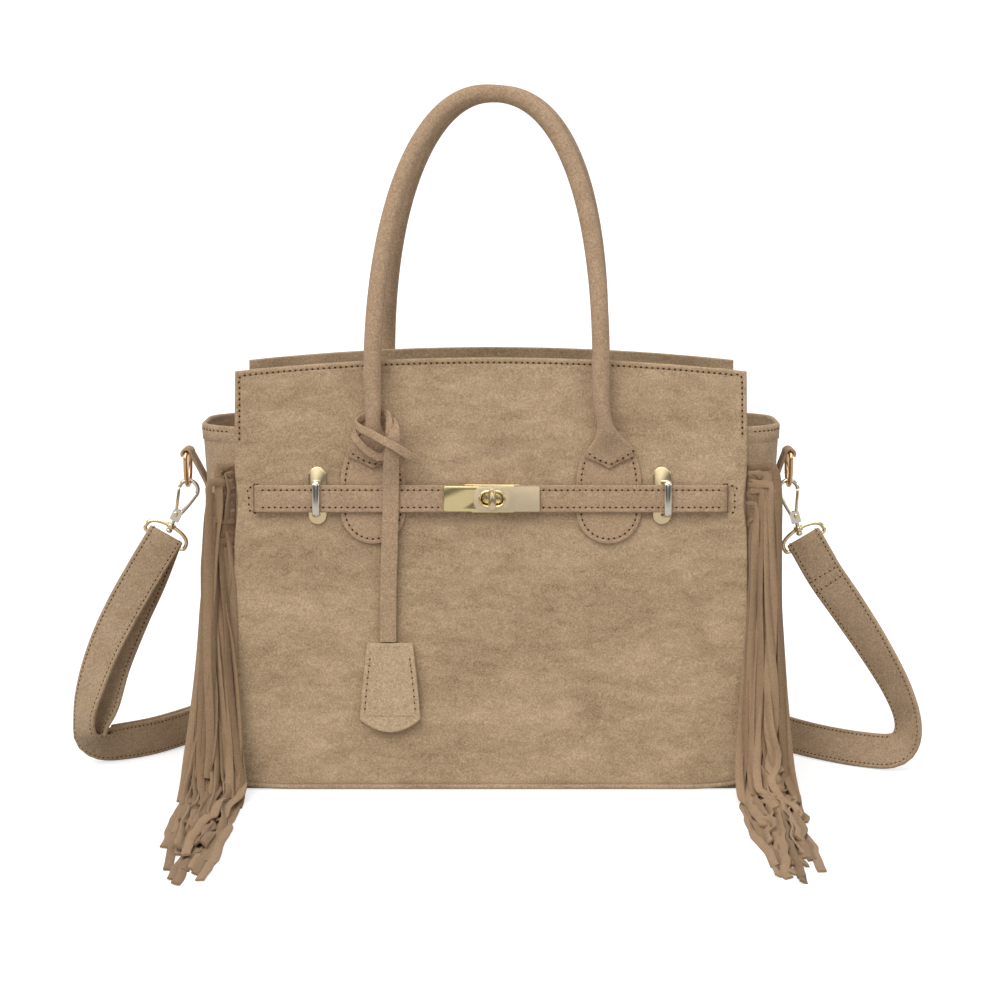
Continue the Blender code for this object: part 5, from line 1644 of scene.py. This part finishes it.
def make_root_band(word, side):
    """Uncut edge of a fringe strip beside the front seam, gathered into small pleats."""
    low, high, width, wall, pleat = 0.0090, 0.2135, 0.0115, 0.0016, 0.0057
    rows, columns = 220, 7
    leave = Vector((side * 0.86, -0.51, 0))
    deep = Vector((side * 0.51, 0.86, 0))
    front, back = [], []
    for i in range(rows + 1):
        z = low + (high - low) * i / rows
        root = Vector((side * 0.1688, -face_height(z) + 0.0045, z))
        phase = 2 * math.pi * z / pleat + 2.2 * noise.noise(Vector((z * 40, side, 0)))
        ragged = 1 + 0.18 * noise.noise(Vector((z * 120, side, 3)))
        for grid, face in ((front, -0.5), (back, 0.5)):
            row = []
            for k in range(columns + 1):
                t = k / columns
                rise = 0.0013 * t * math.sin(phase)
                row.append(root + leave * width * ragged * t + deep * (wall * face + rise)
                           - Vector((0, 0, 0.004 * t * t)))
            grid.append(row)
    # the fringe_root finish is darker than the strands: painted shade of the seam
    add_object(f"{word}_fringe_root", grid_shell(front, back), "root", "suede",
               material="fringe_root")


def make_fringes(settings):
    """Strands of both sides, and the uncut edge that they hang from."""
    fringe = settings.fringe
    tree = strand_tree()
    for word, side in (("left", -1), ("right", 1)):
        make_root_band(word, side)
        points = hang_strands(side, fringe)
        runs, shades = strand_runs(points, side, fringe)
        edges = edge_runs(f"{word}_strand_runs", runs, "across", shades)
        mesh = through_nodes(edges, tree, {
            "Strand Width": fringe.width, "Strand Thickness": fringe.wall,
            "Material": materials["fringe_suede"]})
        node = f"{word}_fringe"
        add_object(node + "_strands", mesh, "root", "suede", node)


# ---- stage ----
def grey_ramp(nodes, factor, keys):
    """Colour ramp of greys, as (place, value) pairs."""
    ramp = nodes.add("ShaderNodeValToRGB", None, Fac=factor)
    while len(ramp.color_ramp.elements) < len(keys):
        ramp.color_ramp.elements.new(0.5)
    for element, (place, value) in zip(ramp.color_ramp.elements, keys):
        element.position = place
        element.color = (value, value, value, 1)
    return ramp.outputs[0]


def make_stage(settings):
    """Pale floor, soft light and the camera."""
    scene = bpy.context.scene
    scene.view_settings.view_transform = "Standard"
    bm = bmesh.new()
    bmesh.ops.create_circle(bm, cap_ends=True, radius=STAGE_RADIUS, segments=96)
    floor_mesh = finished(bm, smooth=False)
    floor = bpy.data.objects.new("studio_floor", floor_mesh)
    scene.collection.objects.link(floor)
    paint = bpy.data.materials.new("studio_floor")
    paint.use_nodes = True
    nodes = Nodes(paint.node_tree)
    shader = paint.node_tree.nodes["Principled BSDF"]
    shader.inputs["Base Color"].default_value = (0.55, 0.55, 0.55, 1)
    shader.inputs["Roughness"].default_value = 0.9
    shader.inputs["Specular IOR Level"].default_value = 0.1
    shader.inputs["Emission Color"].default_value = (1, 1, 1, 1)
    seen = nodes.add("ShaderNodeLightPath").outputs["Is Camera Ray"]
    nodes.put(shader.inputs["Emission Strength"], nodes.math("MULTIPLY", seen, 0.62))
    floor_mesh.materials.append(paint)

    world = bpy.data.worlds.new("studio")
    world.use_nodes = True
    scene.world = world
    nodes = Nodes(world.node_tree)
    plain = world.node_tree.nodes["Background"]
    plain.inputs["Color"].default_value = (1, 1, 1, 1)
    plain.inputs["Strength"].default_value = 0.55
    way = nodes.add("ShaderNodeTexCoord").outputs["Generated"]
    parts = nodes.add("ShaderNodeSeparateXYZ", None, Vector=way).outputs
    # brightness seen by the metal: by height above the floor, then by distance to the sides
    rise = grey_ramp(nodes, parts["Z"], ((0.0, 0.30), (0.10, 0.12), (0.17, 0.60), (0.25, 1.15),
                                         (0.38, 1.60), (0.52, 0.18), (0.68, 0.90), (0.86, 1.80)))
    sides = grey_ramp(nodes, nodes.math("ABSOLUTE", parts["X"]),
                      ((0.0, 1.0), (0.28, 1.0), (0.42, 0.20), (0.60, 0.35), (0.76, 1.4)))
    panels = nodes.vector("MULTIPLY", rise, sides)
    mirror = nodes.add("ShaderNodeBackground", None, Color=panels, Strength=1.0)
    bright = nodes.add("ShaderNodeBackground", None, Color=(1, 1, 1, 1), Strength=1.2)
    ray = nodes.add("ShaderNodeLightPath").outputs
    glossy = nodes.add("ShaderNodeMixShader", None, Fac=ray["Is Glossy Ray"])
    nodes.put(glossy.inputs[1], plain.outputs[0])
    nodes.put(glossy.inputs[2], mirror.outputs[0])
    seen = nodes.add("ShaderNodeMixShader", None, Fac=ray["Is Camera Ray"])
    nodes.put(seen.inputs[1], glossy.outputs[0])
    nodes.put(seen.inputs[2], bright.outputs[0])
    nodes.put(world.node_tree.nodes["World Output"].inputs["Surface"], seen.outputs[0])

    # name, way towards the light, strength, softness in degrees
    for name, way, power, spread in (
            ("key_light", (-0.36, -0.60, 0.75), 1.35, 40),
            ("top_light", (0.10, -0.18, 0.98), 1.00, 70)):
        light = bpy.data.lights.new(name, "SUN")
        light.energy = power
        light.angle = math.radians(spread)
        lamp = bpy.data.objects.new(name, light)
        lamp.rotation_euler = (-Vector(way)).to_track_quat("-Z", "Y").to_euler()
        lamp.location = Vector(way) * 3
        scene.collection.objects.link(lamp)

    camera = bpy.data.cameras.new("camera")
    camera.lens = CAMERA_LENS
    camera.sensor_width = SENSOR_WIDTH
    viewer = bpy.data.objects.new("camera", camera)
    viewer.location = CAMERA_PLACE
    viewer.rotation_euler = (math.radians(90 - CAMERA_PITCH), 0, 0)
    scene.collection.objects.link(viewer)
    scene.camera = viewer


# ---- operators ----
class ToteStep:
    """Shared part of the operators: each runs one function on the scene's settings."""
    bl_options = {"REGISTER", "UNDO"}

    def execute(self, context):
        """Build the piece from the scene's settings."""
        type(self).build(context.scene.tote)
        return {"FINISHED"}


class TOTE_OT_finishes(ToteStep, bpy.types.Operator):
    """Make the suede, plating and cloth materials"""
    bl_idname = "tote.finishes"
    bl_label = "Finishes"
    build = staticmethod(make_finishes)


class TOTE_OT_stage(ToteStep, bpy.types.Operator):
    """Make the floor, the light and the camera"""
    bl_idname = "tote.stage"
    bl_label = "Stage"
    build = staticmethod(make_stage)


class TOTE_OT_strap(ToteStep, bpy.types.Operator):
    """Make the shoulder strap and its slider"""
    bl_idname = "tote.strap"
    bl_label = "Shoulder strap"
    build = staticmethod(make_strap)


class TOTE_OT_lace(ToteStep, bpy.types.Operator):
    """Make the tied lace and its tag"""
    bl_idname = "tote.lace"
    bl_label = "Lace and tag"
    build = staticmethod(make_lace_and_tag)


class TOTE_OT_panels(ToteStep, bpy.types.Operator):
    """Make the front and back panels"""
    bl_idname = "tote.panels"
    bl_label = "Body panels"
    build = staticmethod(make_panels)


class TOTE_OT_gussets(ToteStep, bpy.types.Operator):
    """Make the side walls"""
    bl_idname = "tote.gussets"
    bl_label = "Gussets"
    build = staticmethod(make_gussets)


class TOTE_OT_base(ToteStep, bpy.types.Operator):
    """Make the bottom and its board"""
    bl_idname = "tote.base"
    bl_label = "Base"
    build = staticmethod(make_base)


class TOTE_OT_lining(ToteStep, bpy.types.Operator):
    """Make the cloth lining"""
    bl_idname = "tote.lining"
    bl_label = "Lining"
    build = staticmethod(make_lining)


class TOTE_OT_handles(ToteStep, bpy.types.Operator):
    """Make the two rolled handles"""
    bl_idname = "tote.handles"
    bl_label = "Handles"
    build = staticmethod(make_handles)


class TOTE_OT_tabs(ToteStep, bpy.types.Operator):
    """Make the patches under the handles' ends"""
    bl_idname = "tote.tabs"
    bl_label = "Handle tabs"
    build = staticmethod(make_tabs)


class TOTE_OT_belts(ToteStep, bpy.types.Operator):
    """Make the two belt halves"""
    bl_idname = "tote.belts"
    bl_label = "Belt"
    build = staticmethod(make_belts)


class TOTE_OT_lock(ToteStep, bpy.types.Operator):
    """Make the turn lock"""
    bl_idname = "tote.lock"
    bl_label = "Turn lock"
    build = staticmethod(make_lock)


class TOTE_OT_staples(ToteStep, bpy.types.Operator):
    """Make the belt's staples"""
    bl_idname = "tote.staples"
    bl_label = "Staples"
    build = staticmethod(make_staples)


class TOTE_OT_side_tabs(ToteStep, bpy.types.Operator):
    """Make the strips that hold the D-rings"""
    bl_idname = "tote.side_tabs"
    bl_label = "Side tabs"
    build = staticmethod(make_side_tabs)


class TOTE_OT_d_rings(ToteStep, bpy.types.Operator):
    """Make the D-rings"""
    bl_idname = "tote.d_rings"
    bl_label = "D-rings"
    build = staticmethod(make_d_rings)


class TOTE_OT_clasps(ToteStep, bpy.types.Operator):
    """Make the snap hooks"""
    bl_idname = "tote.clasps"
    bl_label = "Clasps"
    build = staticmethod(make_clasps)


class TOTE_OT_strap_rings(ToteStep, bpy.types.Operator):
    """Make the strap's rings"""
    bl_idname = "tote.strap_rings"
    bl_label = "Strap rings"
    build = staticmethod(make_strap_rings)


class TOTE_OT_fringes(ToteStep, bpy.types.Operator):
    """Make the fringes of both sides"""
    bl_idname = "tote.fringes"
    bl_label = "Fringes"
    build = staticmethod(make_fringes)


STEPS = (
    TOTE_OT_finishes, TOTE_OT_stage, TOTE_OT_strap, TOTE_OT_lace, TOTE_OT_panels,
    TOTE_OT_gussets, TOTE_OT_base, TOTE_OT_lining, TOTE_OT_handles, TOTE_OT_tabs,
    TOTE_OT_belts, TOTE_OT_lock, TOTE_OT_staples, TOTE_OT_side_tabs, TOTE_OT_d_rings,
    TOTE_OT_clasps, TOTE_OT_strap_rings, TOTE_OT_fringes,
)


class TOTE_PT_sidebar(bpy.types.Panel):
    """Lists the tote's settings and steps"""
    bl_idname = "TOTE_PT_sidebar"
    bl_label = "Fringed suede tote"
    bl_space_type = "VIEW_3D"
    bl_region_type = "UI"
    bl_category = "Tote"

    def draw(self, context):
        """Lay out the settings and the buttons."""
        layout = self.layout
        tote = context.scene.tote
        for title, group in (("Suede", tote.suede), ("Metal", tote.metal),
                             ("Stitches", tote.stitch), ("Fringe", tote.fringe)):
            box = layout.box()
            box.label(text=title)
            for name in group.__annotations__:
                box.prop(group, name)
        for step in STEPS:
            layout.operator(step.bl_idname)


CLASSES = (SuedeSettings, MetalSettings, StitchSettings, FringeSettings, ToteSettings,
           *STEPS, TOTE_PT_sidebar)


def register():
    """Add the classes and the scene's settings."""
    for cls in CLASSES:
        bpy.utils.register_class(cls)
    bpy.types.Scene.tote = PointerProperty(type=ToteSettings)


def unregister():
    """Take the settings and classes away again."""
    del bpy.types.Scene.tote
    for cls in reversed(CLASSES):
        bpy.utils.unregister_class(cls)


def main():
    """Build everything in order."""
    register()
    for step in STEPS:
        group, name = step.bl_idname.split(".")
        getattr(getattr(bpy.ops, group), name)()


if __name__ == "__main__":
    main()
